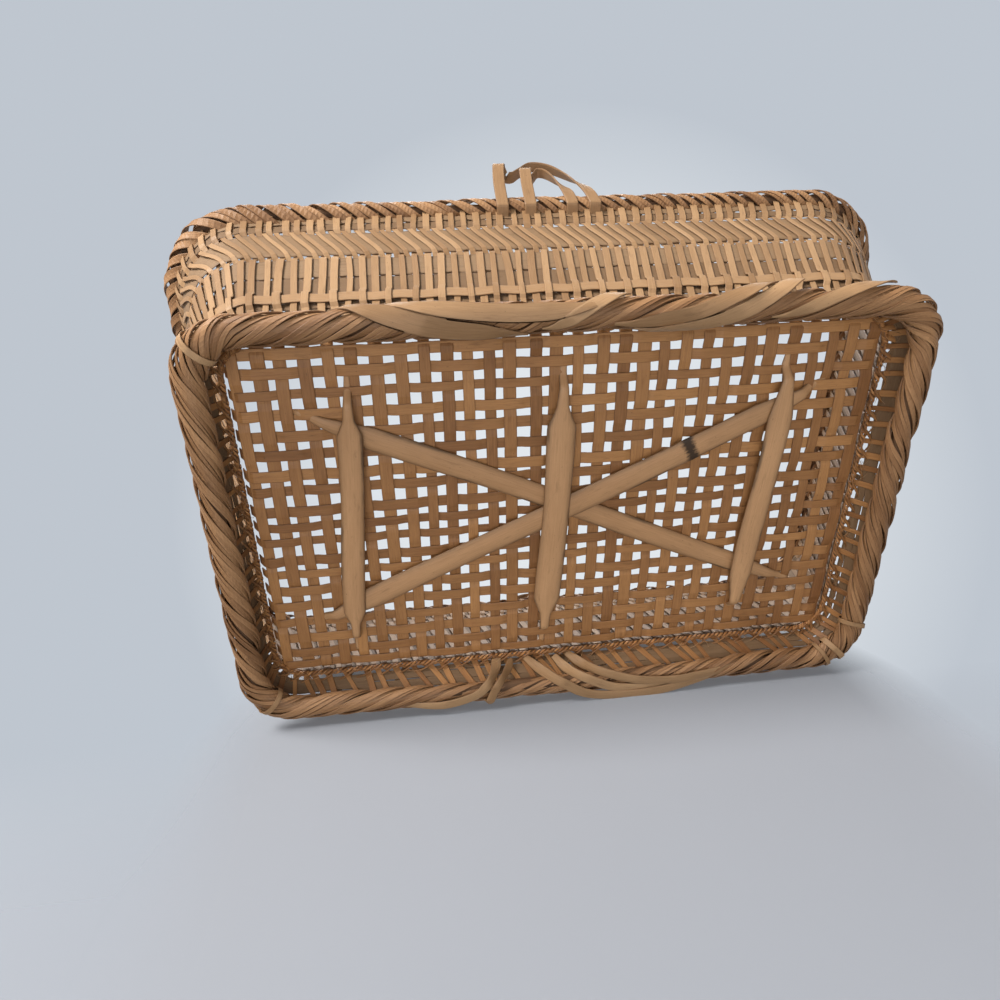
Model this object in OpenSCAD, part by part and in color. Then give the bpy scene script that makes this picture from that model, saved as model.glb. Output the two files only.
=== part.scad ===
// Gathering basket: an open basket of flat bamboo strips with a flaring wall, a plaited rim,
// a plaited foot, braces under an openly woven base and a small ear on each long side.
// Millimetres, +Z up out of the mouth, +X along the long side, ground at Z = 0.

/* [Base] */
// Length of the base between its long ends
base_length = 325; // [290:5:360]
// Width of the base
base_width = 194; // [174:4:226]
// Corner radius at the edge of the base
corner_radius = 17; // [14:1:24]
// Height of the middle of the base mat above the ground
base_height = 22; // [21:0.5:26]
// Strips of the mat laid across the base
mat_across = 16; // [10:1:16]
// Strips of the mat laid along the base
mat_along = 9; // [6:1:9]
// Share of the pitch that a mat strip covers
mat_cover = 0.6; // [0.5:0.02:0.7]
// Thickness of a mat strip
mat_thick = 1; // [0.8:0.1:1.2]

/* [Wall] */
// Height of the middle of the rim plait above the ground
rim_height = 122; // [106:2:142]
// How far the rim plait stands outside the edge of the base
rim_spread = 40; // [33:0.5:46]
// Stakes along the straight part of a long side
stakes_long = 46; // [30:1:48]
// Stakes along the straight part of a short side
stakes_short = 26; // [16:1:28]
// Stakes round one corner
stakes_corner = 8; // [5:1:8]
// Width of a stake
stake_width = 3.6; // [2.8:0.2:4]
// How far a stake stands proud of the strips behind it
stake_proud = 1; // [0.6:0.1:1.4]
// Thickness of a hoop
hoop_thick = 1; // [0.8:0.1:1.4]
// Share of the wall below the slanting row
lower_share = 0.62; // [0.56:0.01:0.66]
// Share of the wall taken by the slanting row
middle_share = 0.16; // [0.13:0.01:0.2]
// Lean of the slanting row of stakes in degrees
stake_lean = 32; // [20:1:40]

/* [Plaits] */
// Radius of the rim plait
rim_radius = 5.5; // [4.75:0.25:6.5]
// Radius of the foot plait
foot_radius = 7.5; // [6.5:0.25:8.5]
// How far the foot plait stands outside the edge of the base
foot_spread = 10; // [9:0.5:14]
// Strips crossing the face of the rim plait
rim_strips = 92; // [60:2:96]
// Strips crossing the face of the foot plait
foot_strips = 72; // [50:2:80]
// Depth of the grooves between plait strips as a share of the radius
groove_share = 0.2; // [0.1:0.02:0.26]
// Strips of the open skirt between base and foot
skirt_strips = 88; // [60:4:96]

/* [Braces] */
// Length of a cross slat, tip to tip
slat_length = 164; // [140:2:176]
// Width of a cross slat
slat_width = 13; // [10:0.5:15]
// Length of a diagonal, tip to tip
diagonal_length = 300; // [270:5:310]
// Width of a diagonal
diagonal_width = 12; // [9:0.5:14]
// Angle of the diagonals from the long side in degrees
diagonal_angle = 24.5; // [22:0.5:26]
// Thickness of a brace at its middle
brace_thick = 1.9; // [1.5:0.1:2.2]
// Distance of the outer slats from the middle of the base
slat_offset = 108; // [95:1:115]

/* [Ears] */
// Height of an ear above the rim plait
ear_height = 30; // [24:1:36]
// Width of an ear across its feet
ear_span = 52; // [44:1:60]
// Outward lean of an ear in degrees
ear_lean = 32; // [24:1:38]
// How far an ear stands off the middle of its side
ear_offset = 7; // [0:1:12]
// Width of the strip an ear is made of
ear_strip = 6.6; // [5:0.2:8]
// Thickness of the strip an ear is made of
ear_thick = 1.2; // [1:0.1:1.6]

/* [Hidden] */
$fn = 48;

light_tan = "#d2b07c";
mid_tan = "#bd9560";
warm_brown = "#a67c4c";
pale_split = "#c2a877";

touch = 0.3;        // clearance between curved faces
seam = 0.2;         // clearance between flat faces
trim = 0.15;        // how far ridges stop short of the edge of their skin

half_x = base_length / 2;
half_y = base_width / 2;
straight_x = base_length - 2 * corner_radius;
straight_y = base_width - 2 * corner_radius;
wall_rise = rim_height - base_height;
flare = atan(rim_spread / wall_rise);
slope_length = norm([rim_spread, wall_rise]);

plait_flat = 0.75;  // half height of a plait's flat faces, in radii
foot_height = plait_flat * foot_radius;
skin_thick = 0.6;
layer_depth = hoop_thick / 2 + seam + skin_thick + stake_proud;
edge_half_high = 2.4; // half height of the twined ring at the edge of the base
edge_half_wide = 1.6; // half width of that ring
wall_start = (edge_half_high + touch) * cos(flare) + edge_half_wide * sin(flare);
wall_end = slope_length - (plait_flat * rim_radius + touch) / cos(flare) - layer_depth * tan(flare);
wall_span = wall_end - wall_start;
row_low = wall_start + lower_share * wall_span;
row_high = row_low + middle_share * wall_span;
foot_hoop_share = 0.46; // share of the lower wall that the foot hoop covers
foot_hoop_end = wall_start + foot_hoop_share * (row_low - wall_start);
narrow_start = foot_hoop_end + 1.5;
narrow_width = 7;
skin_out = hoop_thick / 2 + seam;
stake_face = skin_out + skin_thick + stake_proud;

mat_rise = mat_thick / 2 - 0.05;
mat_groove = 1.2;   // width of the groove between two doubled ribbons
mat_low = base_height - mat_rise - mat_thick / 2;
mat_x = half_x - edge_half_wide - touch;
mat_y = half_y - edge_half_wide - touch;
pitch_x = 2 * mat_x / mat_across;
pitch_y = 2 * mat_y / mat_along;

// Frame of one side of the wall: local X is outward, Y runs along the side, Z climbs the slope.
module side_frame(turn, depth) {
    rotate([0, 0, turn]) translate([depth, 0, base_height]) rotate([0, flare, 0]) children();
}

// Frame at an angle round the corner of one quarter, with the same local axes as a side.
module corner_frame(quarter, angle) {
    quarter_place(quarter) rotate([0, 0, angle]) translate([corner_radius, 0, base_height])
        rotate([0, flare, 0]) children();
}

// Section of a band in the slope: from depth o0 to o1 outward, u0 to u1 along the slope.
function slope_point(o, u) = [corner_radius + o * cos(flare) + u * sin(flare),
                              base_height - o * sin(flare) + u * cos(flare)];

function band_section(o0, o1, u0, u1) =
    [slope_point(o0, u0), slope_point(o1, u0), slope_point(o1, u1), slope_point(o0, u1)];

// A plain band all round the wall: four flat lengths and four conical corners of one section.
module ring_band(o0, o1, u0, u1) {
    section = band_section(o0, o1, u0, u1);
    for (k = [0:3]) {
        length = k % 2 == 0 ? straight_y : straight_x;
        depth = (k % 2 == 0 ? half_x : half_y) - corner_radius;
        rotate([0, 0, 90 * k]) translate([depth, length / 2, 0]) rotate([90, 0, 0])
            linear_extrude(length) polygon(section);
        quarter_place(k) rotate_extrude(angle = 90) polygon(section);
    }
}

// Centre of the corner of one quarter, turned so that the quarter runs from local X to local Y.
module quarter_place(quarter) {
    sx = (quarter == 0 || quarter == 3) ? 1 : -1;
    sy = quarter < 2 ? 1 : -1;
    translate([sx * (half_x - corner_radius), sy * (half_y - corner_radius), 0])
        rotate([0, 0, 90 * quarter]) children();
}

// Outline of a skin with one tooth per stake, skin from o0 to o1 and teeth on to o2.
function comb(length, count, o0, o1, o2) = concat(
    [[o0, -length / 2]],
    [[o0, length / 2]],
    [[o1, length / 2]],
    [for (i = [count - 1:-1:0]) let (y = -length / 2 + (i + 0.5) * length / count)
        each [[o1, y + stake_width / 2], [o2, y + stake_width / 2],
              [o2, y - stake_width / 2], [o1, y - stake_width / 2]]],
    [[o1, -length / 2]]);

module corner_stakes(quarter, o1, o2, u0, u1, lean) {
    run = (u1 - u0 - stake_width * sin(abs(lean))) / cos(lean);
    inner = min(o1, o2);
    outer = max(o1, o2);
    for (i = [0:stakes_corner - 1])
        corner_frame(quarter, (i + 0.5) * 90 / stakes_corner)
            translate([0, 0, (u0 + u1) / 2]) rotate([lean, 0, 0])
                translate([inner, -stake_width / 2, -run / 2]) cube([outer - inner, stake_width, run]);
}

// One row of stakes all round: a thin skin with a ridge for every stake.
module stake_row(o0, o1, o2, u0, u1, lean) {
    side = o2 > o1 ? 1 : -1;
    back = o1 - side * 0.75 * skin_thick;
    front = o1 - side * 0.25 * skin_thick;
    low = u0 + trim;
    high = u1 - trim;
    ring_band(min(o0, o1), max(o0, o1), u0, u1);
    for (k = [0:3]) {
        length = (k % 2 == 0 ? straight_y : straight_x) - 2 * trim;
        count = k % 2 == 0 ? stakes_short : stakes_long;
        side_frame(90 * k, k % 2 == 0 ? half_x : half_y)
            if (lean == 0) {
                translate([0, 0, low]) linear_extrude(high - low)
                    polygon(comb(length, count, back, front, o2));
            } else {
                intersection() {
                    translate([min(back, o2) - 1, -length / 2, low])
                        cube([abs(o2 - back) + 2, length, high - low]);
                    slanted_comb(length, count, back, front, o2, low, high, lean);
                }
            }
        corner_stakes(k, front, o2, low, high, lean);
    }
}

// A comb long enough to fill a leaning row, turned in the plane of the wall.
module slanted_comb(length, count, o0, o1, o2, u0, u1, lean) {
    extra = 2 * ceil((u1 - u0) * tan(lean) * count / length / 2 + 2);
    wide = (count + extra) * length / count * cos(lean);
    tall = (u1 - u0) / cos(lean) + 2 * length * sin(lean) + 20;
    translate([0, 0, (u0 + u1) / 2]) rotate([lean, 0, 0])
        translate([0, 0, -tall / 2]) linear_extrude(tall)
            polygon(comb(wide, count + extra, o0, o1, o2));
}

// Point and outward angle at distance s round a rounded rectangle of half sizes a, b.
function ring_length(a, b, rc) = 4 * (a + b - 2 * rc) + 2 * PI * rc;
function ring_point(s, a, b, rc) =
    let (total = ring_length(a, b, rc), half = total / 2,
         w = ((s % total) + total) % total,
         back = w >= half,
         t = back ? w - half : w,
         ly = 2 * (b - rc), lx = 2 * (a - rc), arc = PI * rc / 2,
         p = t < ly ? [a, t - ly / 2, 0]
           : t < ly + arc ? let (g = (t - ly) / arc * 90) [a - rc + rc * cos(g), b - rc + rc * sin(g), g]
           : t < ly + arc + lx ? [lx / 2 - (t - ly - arc), b, 90]
           : let (g = 90 + (t - ly - arc - lx) / arc * 90)
             [-(a - rc) + rc * cos(g), b - rc + rc * sin(g), g])
    back ? [-p[0], -p[1], p[2] + 180] : p;

// Section of a plait in radii, outward and up, with flat faces above and below.
plait_section = [[0.62, -plait_flat], [1, -0.3], [1, 0.3], [0.62, plait_flat],
                 [-0.62, plait_flat], [-1, 0.3], [-1, -0.3], [-0.62, -plait_flat]];

foot_wind = 4;      // strips that one strip of the foot plait passes in a turn
rim_wind = -3;      // the same for the rim plait, which winds the other way

// A plait all round: ridge and groove sections wind round the ring as slanting strips.
module plait(spread, height, radius, strips, wind) {
    a = half_x + spread;
    b = half_y + spread;
    rc = corner_radius + spread;
    n = 2 * strips;
    step = ring_length(a, b, rc) / n;
    m = len(plait_section);
    points = [for (i = [0:n - 1]) for (j = [0:m - 1])
        let (q = ring_point((i + 2 * wind * j / m) * step, a, b, rc),
             share = i % 2 == 0 ? 1 : 1 - groove_share,
             out = plait_section[j][0] * radius * share)
        [q[0] + out * cos(q[2]), q[1] + out * sin(q[2]), height + plait_section[j][1] * radius]];
    faces = [for (i = [0:n - 1]) for (j = [0:m - 1])
        let (i1 = (i + 1) % n, wrap = j == m - 1 ? 2 * wind : 0, j1 = (j + 1) % m,
             p00 = i * m + j, p10 = i1 * m + j,
             p01 = ((i + wrap + n) % n) * m + j1, p11 = ((i1 + wrap + n) % n) * m + j1)
        each [[p00, p01, p11], [p00, p11, p10]]];
    polyhedron(points, faces);
}

// Side outline of one mat strip: flats at the crossings, ramps over the gaps between them.
function wave(count, pitch, cover, phase, sign) = [for (j = [0:count - 1])
    let (c = (j - (count - 1) / 2) * pitch,
         up = (j + phase) % 4 < 2 ? 1 : -1,
         flat = (cover + 0.12) * pitch / 2,
         lo = j == 0 ? c - pitch / 2 : c - flat,
         hi = j == count - 1 ? c + pitch / 2 : c + flat)
    each [[lo, sign * up * mat_rise], [hi, sign * up * mat_rise]]];

// One ribbon of a mat strip, thick or thin, along a side outline.
module ribbon(path, width, thick) {
    n = len(path);
    translate([0, width / 2, 0]) rotate([90, 0, 0]) linear_extrude(width)
        polygon(concat([for (p = path) [p[0], p[1] - thick / 2]],
                       [for (i = [n - 1:-1:0]) [path[i][0], path[i][1] + thick / 2]]));
}

// A doubled mat strip: two ribbons side by side with a groove between them.
module mat_strip(path, width) {
    single = (width - mat_groove) / 2;
    for (side = [-1, 1])
        translate([0, side * (mat_groove + single) / 2, 0]) ribbon(path, single, mat_thick);
    ribbon(path, mat_groove + 2 * trim, mat_thick / 2);
}

module mat_strips() {
    for (j = [0:mat_along - 1])
        translate([0, (j - (mat_along - 1) / 2) * pitch_y, 0])
            mat_strip(wave(mat_across, pitch_x, mat_cover, j, 1), mat_cover * pitch_y);
    for (i = [0:mat_across - 1])
        translate([(i - (mat_across - 1) / 2) * pitch_x, 0, 0]) rotate([0, 0, 90])
            mat_strip(wave(mat_along, pitch_y, mat_cover, i, -1), mat_cover * pitch_x);
}

// What lies outside the rounded corner of one quarter.
module mat_corner(quarter) {
    reach = corner_radius - edge_half_wide - touch;
    quarter_place(quarter) difference() {
        translate([0, 0, -mat_thick * 2]) cube([2 * corner_radius, 2 * corner_radius, mat_thick * 4]);
        translate([0, 0, -mat_thick * 3]) cylinder(r = reach, h = mat_thick * 6);
    }
}

// Openly woven base: strips go over two and under two, fused where they cross.
module base_mat() {
    color(mid_tan) translate([0, 0, base_height]) difference() {
        mat_strips();
        for (k = [0:3]) mat_corner(k);
    }
}

// Open skirt: a twined ring round the edge of the base and strips splaying down to the foot.
module skirt() {
    ring_low = base_height - edge_half_high;
    ring_high = base_height + edge_half_high;
    drop = ring_low - (2 * foot_height + touch);
    reach = foot_spread - 3;
    fall = atan(reach / drop);
    bar = norm([reach, drop]) - 0.6;
    color(warm_brown) {
        for (k = [0:3]) {
            rotate([0, 0, 90 * k]) translate([(k % 2 == 0 ? half_x : half_y) - edge_half_wide, 0, ring_low])
                translate([0, -(k % 2 == 0 ? straight_y : straight_x) / 2, 0])
                    cube([2 * edge_half_wide, k % 2 == 0 ? straight_y : straight_x, ring_high - ring_low]);
            translate([((k == 0 || k == 3) ? 1 : -1) * (half_x - corner_radius),
                       (k < 2 ? 1 : -1) * (half_y - corner_radius), ring_low])
                rotate([0, 0, 90 * k]) rotate_extrude(angle = 90)
                    translate([corner_radius - edge_half_wide, 0])
                        square([2 * edge_half_wide, ring_high - ring_low]);
        }
        total = ring_length(half_x, half_y, corner_radius);
        for (i = [0:skirt_strips - 1]) {
            q = ring_point((i + 0.5) * total / skirt_strips, half_x, half_y, corner_radius);
            translate([q[0], q[1], ring_low]) rotate([0, 0, q[2]]) rotate([0, -fall, 0])
                translate([-0.5, -2.2, -bar]) cube([1, 4.4, bar + 1.2]);
        }
    }
}

module foot_plait() {
    color(light_tan) plait(foot_spread, foot_height, foot_radius, foot_strips, foot_wind);
}

module rim_plait() {
    color(light_tan) plait(rim_spread, rim_height, rim_radius, rim_strips, rim_wind);
}

module hoop_foot() {
    color(warm_brown) ring_band(-hoop_thick / 2, hoop_thick / 2, wall_start, foot_hoop_end - seam);
}

module hoop_lower() {
    color(warm_brown) ring_band(-hoop_thick / 2, hoop_thick / 2, foot_hoop_end, row_low - seam);
}

module hoop_middle() {
    color(warm_brown) ring_band(-hoop_thick / 2, hoop_thick / 2, row_low, row_high - seam);
}

module hoop_upper() {
    color(warm_brown) ring_band(-hoop_thick / 2, hoop_thick / 2, row_high, wall_end);
}

// Narrow light hoop outside the lower stakes.
module hoop_narrow() {
    color(light_tan)
        ring_band(stake_face + seam, stake_face + seam + hoop_thick, narrow_start, narrow_start + narrow_width);
}

module stakes_lower() {
    color(light_tan)
        stake_row(skin_out, skin_out + skin_thick, stake_face, wall_start, row_low - seam, 0);
}

module stakes_middle() {
    color(light_tan)
        stake_row(skin_out, skin_out + skin_thick, stake_face, row_low, row_high - seam, stake_lean);
}

module stakes_upper() {
    color(light_tan)
        stake_row(skin_out, skin_out + skin_thick, stake_face, row_high, wall_end, 0);
}

module stakes_inner() {
    color(mid_tan)
        stake_row(-skin_out, -skin_out - skin_thick, -stake_face, wall_start, wall_end, 0);
}

// Split bamboo with sharpened ends and a round back below, its flat face upward at Z = 0.
module split_slat(length, width, tip) {
    back = (width * width / 4 + brace_thick * brace_thick * 0.36) / (2 * brace_thick * 0.6);
    intersection() {
        translate([0, 0, -brace_thick]) linear_extrude(brace_thick)
            polygon([[-length / 2, 0.6], [-length / 2, -0.6], [-length / 2 + tip, -width / 2],
                     [length / 2 - tip, -width / 2], [length / 2, -0.6], [length / 2, 0.6],
                     [length / 2 - tip, width / 2], [-length / 2 + tip, width / 2]]);
        translate([-length, 0, back - brace_thick]) rotate([0, 90, 0]) cylinder(r = back, h = 2 * length);
    }
}

module brace(level, x, y, turn, length, width, tip) {
    color(pale_split) translate([x, y, mat_low - seam - level * (brace_thick + seam)])
        rotate([0, 0, turn]) split_slat(length, width, tip);
}

slat_turn = 94;     // direction of the outer slats in degrees from the long side
middle_turn = 93;   // direction of the middle slat
middle_extra = 8;   // how much longer the middle slat is
middle_wider = 1.5; // how much wider it is
slat_taper = 0.18 * slat_length;
diagonal_taper = 0.113 * diagonal_length;

module slat_left() {
    brace(2, -slat_offset - 3, 1, slat_turn, slat_length, slat_width - 1, slat_taper);
}

module slat_middle() {
    brace(2, -6, 3, middle_turn, slat_length + middle_extra, slat_width + middle_wider, slat_taper);
}

module slat_right() {
    brace(2, slat_offset - 1, 1, slat_turn, slat_length, slat_width, slat_taper);
}

module diagonal_falling() {
    brace(0, 2, -2, diagonal_angle, diagonal_length - 6, diagonal_width, diagonal_taper);
}

module diagonal_rising() {
    brace(1, -2, -1, -diagonal_angle, diagonal_length, diagonal_width + 1, diagonal_taper);
}

// Path of an ear strip: up one leg, over the top and down to the other foot.
function mix3(p, q, t) = p * (1 - t) + q * t;
function bezier(p, t) = len(p) == 1 ? p[0]
    : bezier([for (i = [0:len(p) - 2]) mix3(p[i], p[i + 1], t)], t);
function unit(v) = v / norm(v);

module ear_strip_loop(left, right, top, crest, depth) {
    low = -rim_radius - 2;
    hand = left < right ? 1 : -1;
    first = [[left, depth, low], [left - hand, depth, 0.75 * top], [left, depth - 1, 1.1 * top],
             [crest, depth - 5, top]];
    last = [[crest, depth - 5, top], [crest + 0.5 * (right - crest), depth - 8, top],
            [right - 2 * hand, depth, 0.4 * top], [right, depth, low]];
    n = 44;
    path = [for (i = [0:n]) i <= n / 2 ? bezier(first, 2 * i / n) : bezier(last, 2 * i / n - 1)];
    points = [for (i = [0:n])
        let (t = unit(path[min(i + 1, n)] - path[max(i - 1, 0)]),
             lean = pow(sin(180 * i / n), 4),
             w0 = [hand * (1 - 0.8 * lean), -lean, 0],
             w = unit(w0 - t * (w0 * t)),
             f = cross(t, w),
             dw = w * ear_strip / 2, df = f * ear_thick / 2)
        each [path[i] - dw - df, path[i] + dw - df, path[i] + dw + df, path[i] - dw + df]];
    faces = concat([[0, 1, 2], [0, 2, 3]],
        [for (i = [0:n - 1]) for (j = [0:3])
            let (j1 = (j + 1) % 4, a = 4 * i + j, b = 4 * i + j1, c = 4 * i + 4 + j1, d = 4 * i + 4 + j)
            each [[a, c, b], [a, d, c]]],
        [[4 * n, 4 * n + 2, 4 * n + 1], [4 * n, 4 * n + 3, 4 * n + 2]]);
    polyhedron(points, faces);
}

module ear(turn, shift, left, right, top, crest, depth) {
    color(pale_split) rotate([0, 0, turn]) translate([shift, half_y + rim_spread, rim_height])
        rotate([-ear_lean, 0, 0]) ear_strip_loop(left, right, top, crest, depth);
}

ear_depth = rim_radius + ear_thick / 2 + 2.5 * touch;
ear_top = rim_radius + ear_height;
ear_half = ear_span / 2;
inner_left = ear_span / 5;
inner_right = 0.3 * ear_span;
inner_top = ear_top - ear_height / 3;
ear_crest = ear_span / 26; // how far the crest stands off the middle of the ear

module ear_back_outer() {
    ear(0, ear_offset, -ear_half, ear_half, ear_top, -ear_crest, ear_depth);
}

module ear_back_inner() {
    ear(0, ear_offset, -inner_left, inner_right, inner_top, ear_crest / 2, ear_depth);
}

module ear_front_outer() {
    ear(180, -ear_offset, ear_half, -ear_half, ear_top, ear_crest, ear_depth);
}

module ear_front_inner() {
    ear(180, -ear_offset, inner_left, -inner_right, inner_top, -ear_crest / 2, ear_depth);
}

base_mat();
skirt();
foot_plait();
hoop_foot();
hoop_lower();
hoop_middle();
hoop_upper();
hoop_narrow();
stakes_lower();
stakes_middle();
stakes_upper();
stakes_inner();
rim_plait();
slat_left();
slat_middle();
slat_right();
diagonal_rising();
diagonal_falling();
ear_front_outer();
ear_front_inner();
ear_back_outer();
ear_back_inner();
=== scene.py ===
"""Looks of the gathering basket: every bamboo strip is a numpy ribbon laid around the CAD frame."""

import logging
from dataclasses import dataclass
from enum import Enum
from typing import Any, Optional, Sequence, Union

import bpy
import numpy as np
from mathutils import Matrix, Vector


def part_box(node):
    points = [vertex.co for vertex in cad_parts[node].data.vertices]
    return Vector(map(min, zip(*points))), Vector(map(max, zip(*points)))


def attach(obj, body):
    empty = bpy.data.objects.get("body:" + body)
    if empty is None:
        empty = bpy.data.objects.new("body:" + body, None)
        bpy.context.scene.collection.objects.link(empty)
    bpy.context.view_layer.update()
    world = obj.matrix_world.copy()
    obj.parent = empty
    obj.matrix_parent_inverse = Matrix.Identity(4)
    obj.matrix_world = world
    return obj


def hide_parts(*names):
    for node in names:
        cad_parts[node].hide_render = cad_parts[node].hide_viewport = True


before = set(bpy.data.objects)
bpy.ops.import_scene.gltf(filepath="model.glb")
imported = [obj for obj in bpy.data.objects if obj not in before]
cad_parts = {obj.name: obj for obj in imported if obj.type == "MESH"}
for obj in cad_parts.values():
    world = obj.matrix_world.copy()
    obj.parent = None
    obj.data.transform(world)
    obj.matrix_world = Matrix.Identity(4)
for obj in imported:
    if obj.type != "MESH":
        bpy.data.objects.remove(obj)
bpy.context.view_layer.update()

LOG = logging.getLogger("basket")
MM = 0.001
SEED = 20
GROUND = 0.1 * MM
TINY = 1e-12
FULL_TURN = 2 * np.pi
QUARTER = 90.0
UPWARD = np.array([0.0, 0.0, 1.0])

Array = np.ndarray
Colour = tuple[float, float, float]
Triple = tuple[float, float, float]
Pair = tuple[float, float]
Operand = Union["Socket", float, int]


class Socket:
    """A shader socket whose operators add Math nodes to its tree."""

    def __init__(self, shader: "Shader", socket: bpy.types.NodeSocket) -> None:
        """Keeps the shader that owns the socket and the socket itself."""
        self.shader = shader
        self.socket = socket

    def _math(self, operation: str, first: Operand, second: Operand) -> "Socket":
        """Adds one Math node.

        Args:
            operation: the Math node's operation.
            first: its first value or link.
            second: its second value or link.

        Returns:
            The node's result.
        """
        return self.shader.node("ShaderNodeMath", {"operation": operation}, {0: first, 1: second})

    def __add__(self, other: Operand) -> "Socket":
        """Sum."""
        return self._math("ADD", self, other)

    def __radd__(self, other: Operand) -> "Socket":
        """Reflected sum."""
        return self._math("ADD", other, self)

    def __sub__(self, other: Operand) -> "Socket":
        """Difference."""
        return self._math("SUBTRACT", self, other)

    def __rsub__(self, other: Operand) -> "Socket":
        """Reflected difference."""
        return self._math("SUBTRACT", other, self)

    def __mul__(self, other: Operand) -> "Socket":
        """Product."""
        return self._math("MULTIPLY", self, other)

    def __rmul__(self, other: Operand) -> "Socket":
        """Reflected product."""
        return self._math("MULTIPLY", other, self)

    def __pow__(self, other: Operand) -> "Socket":
        """Power."""
        return self._math("POWER", self, other)

    def clamp(self, low: float, high: float) -> "Socket":
        """Limits the value to a range."""
        return self.shader.node("ShaderNodeClamp", {}, {"Value": self, "Min": low, "Max": high})

    def above(self, level: float, gain: float) -> "Socket":
        """Rises from 0 at a level to 1 by the gain: (value - level) * gain, limited."""
        return ((self - level) * gain).clamp(0.0, 1.0)


class Shader:
    """The node tree of a material or a world, with one method for every node."""

    def __init__(self, owner: Union[bpy.types.Material, bpy.types.World]) -> None:
        """Starts an empty tree.

        Args:
            owner: the material or world that the tree belongs to.
        """
        owner.use_nodes = True
        self.tree = owner.node_tree
        self.tree.nodes.clear()

    def node(
        self, kind: str, settings: dict[str, Any], inputs: dict[Any, Any], output: Any = 0
    ) -> Optional[Socket]:
        """Adds a node, sets it up and links it.

        Args:
            kind: the node's type name.
            settings: attributes set before the sockets.
            inputs: socket name or number to a value or a Socket.
            output: name or number of the output that is handed back.

        Returns:
            The chosen output, or nothing from a node that has none.
        """
        made = self.tree.nodes.new(kind)
        for key, value in settings.items():
            setattr(made, key, value)
        for key, value in inputs.items():
            if isinstance(value, Socket):
                self.tree.links.new(value.socket, made.inputs[key])
            else:
                made.inputs[key].default_value = value
        return Socket(self, made.outputs[output]) if made.outputs else None

    def mix(self, factor: Operand, first: Any, second: Any) -> Socket:
        """Mixes two colours: sockets 6 and 7 of the node take them, and output 2 gives the mixed one.

        Args:
            factor: share of the second colour.
            first: first colour or link.
            second: second colour or link.

        Returns:
            The mixed colour.
        """
        return self.node(
            "ShaderNodeMix",
            {"data_type": "RGBA", "blend_type": "MIX", "clamp_factor": True},
            {0: factor, 6: first, 7: second},
            2,
        )


def rgba(colour: Colour) -> tuple[float, float, float, float]:
    """Adds full alpha to a colour."""
    return (*colour, 1.0)


BARK: Colour = (0.075, 0.046, 0.026)
KNOT: Colour = (0.035, 0.022, 0.014)


class Grain(Enum):
    """How a strip's fibres run over it."""

    STRIP = "fine straight fibres of a split strip"
    SKIN = "smooth culm skin with faint streaks"


@dataclass(frozen=True)
class Noise:
    """A noise stretched over a strip.

    Attributes:
        scale: cycles per metre along, across and through.
        detail: octaves.
        falloff: how much of one octave the next one keeps.
    """

    scale: Triple
    detail: float
    falloff: float = 0.6

    def over(self, shader: Shader, place: Socket) -> Socket:
        """Adds the noise to a tree.

        Args:
            shader: the tree.
            place: coordinates in metres.

        Returns:
            Noise between 0 and 1.
        """
        scaled = shader.node("ShaderNodeMapping", {}, {"Vector": place, "Scale": self.scale})
        inputs = {"Vector": scaled, "Scale": 1.0, "Detail": self.detail, "Roughness": self.falloff}
        return shader.node("ShaderNodeTexNoise", {}, inputs)


NOISE_MEAN = 0.5
FIBRE = Noise((45.0, 1500.0, 1.0), 3.0)
FINE = Noise((130.0, 4200.0, 1.0), 2.0)
SLOW = Noise((26.0, 80.0, 1.0), 3.0)
PATCH = Noise((75.0, 330.0, 1.0), 4.0)
SPECK = Noise((420.0, 950.0, 1.0), 2.0)
REGION = Noise((11.0, 11.0, 11.0), 2.0)


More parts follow.
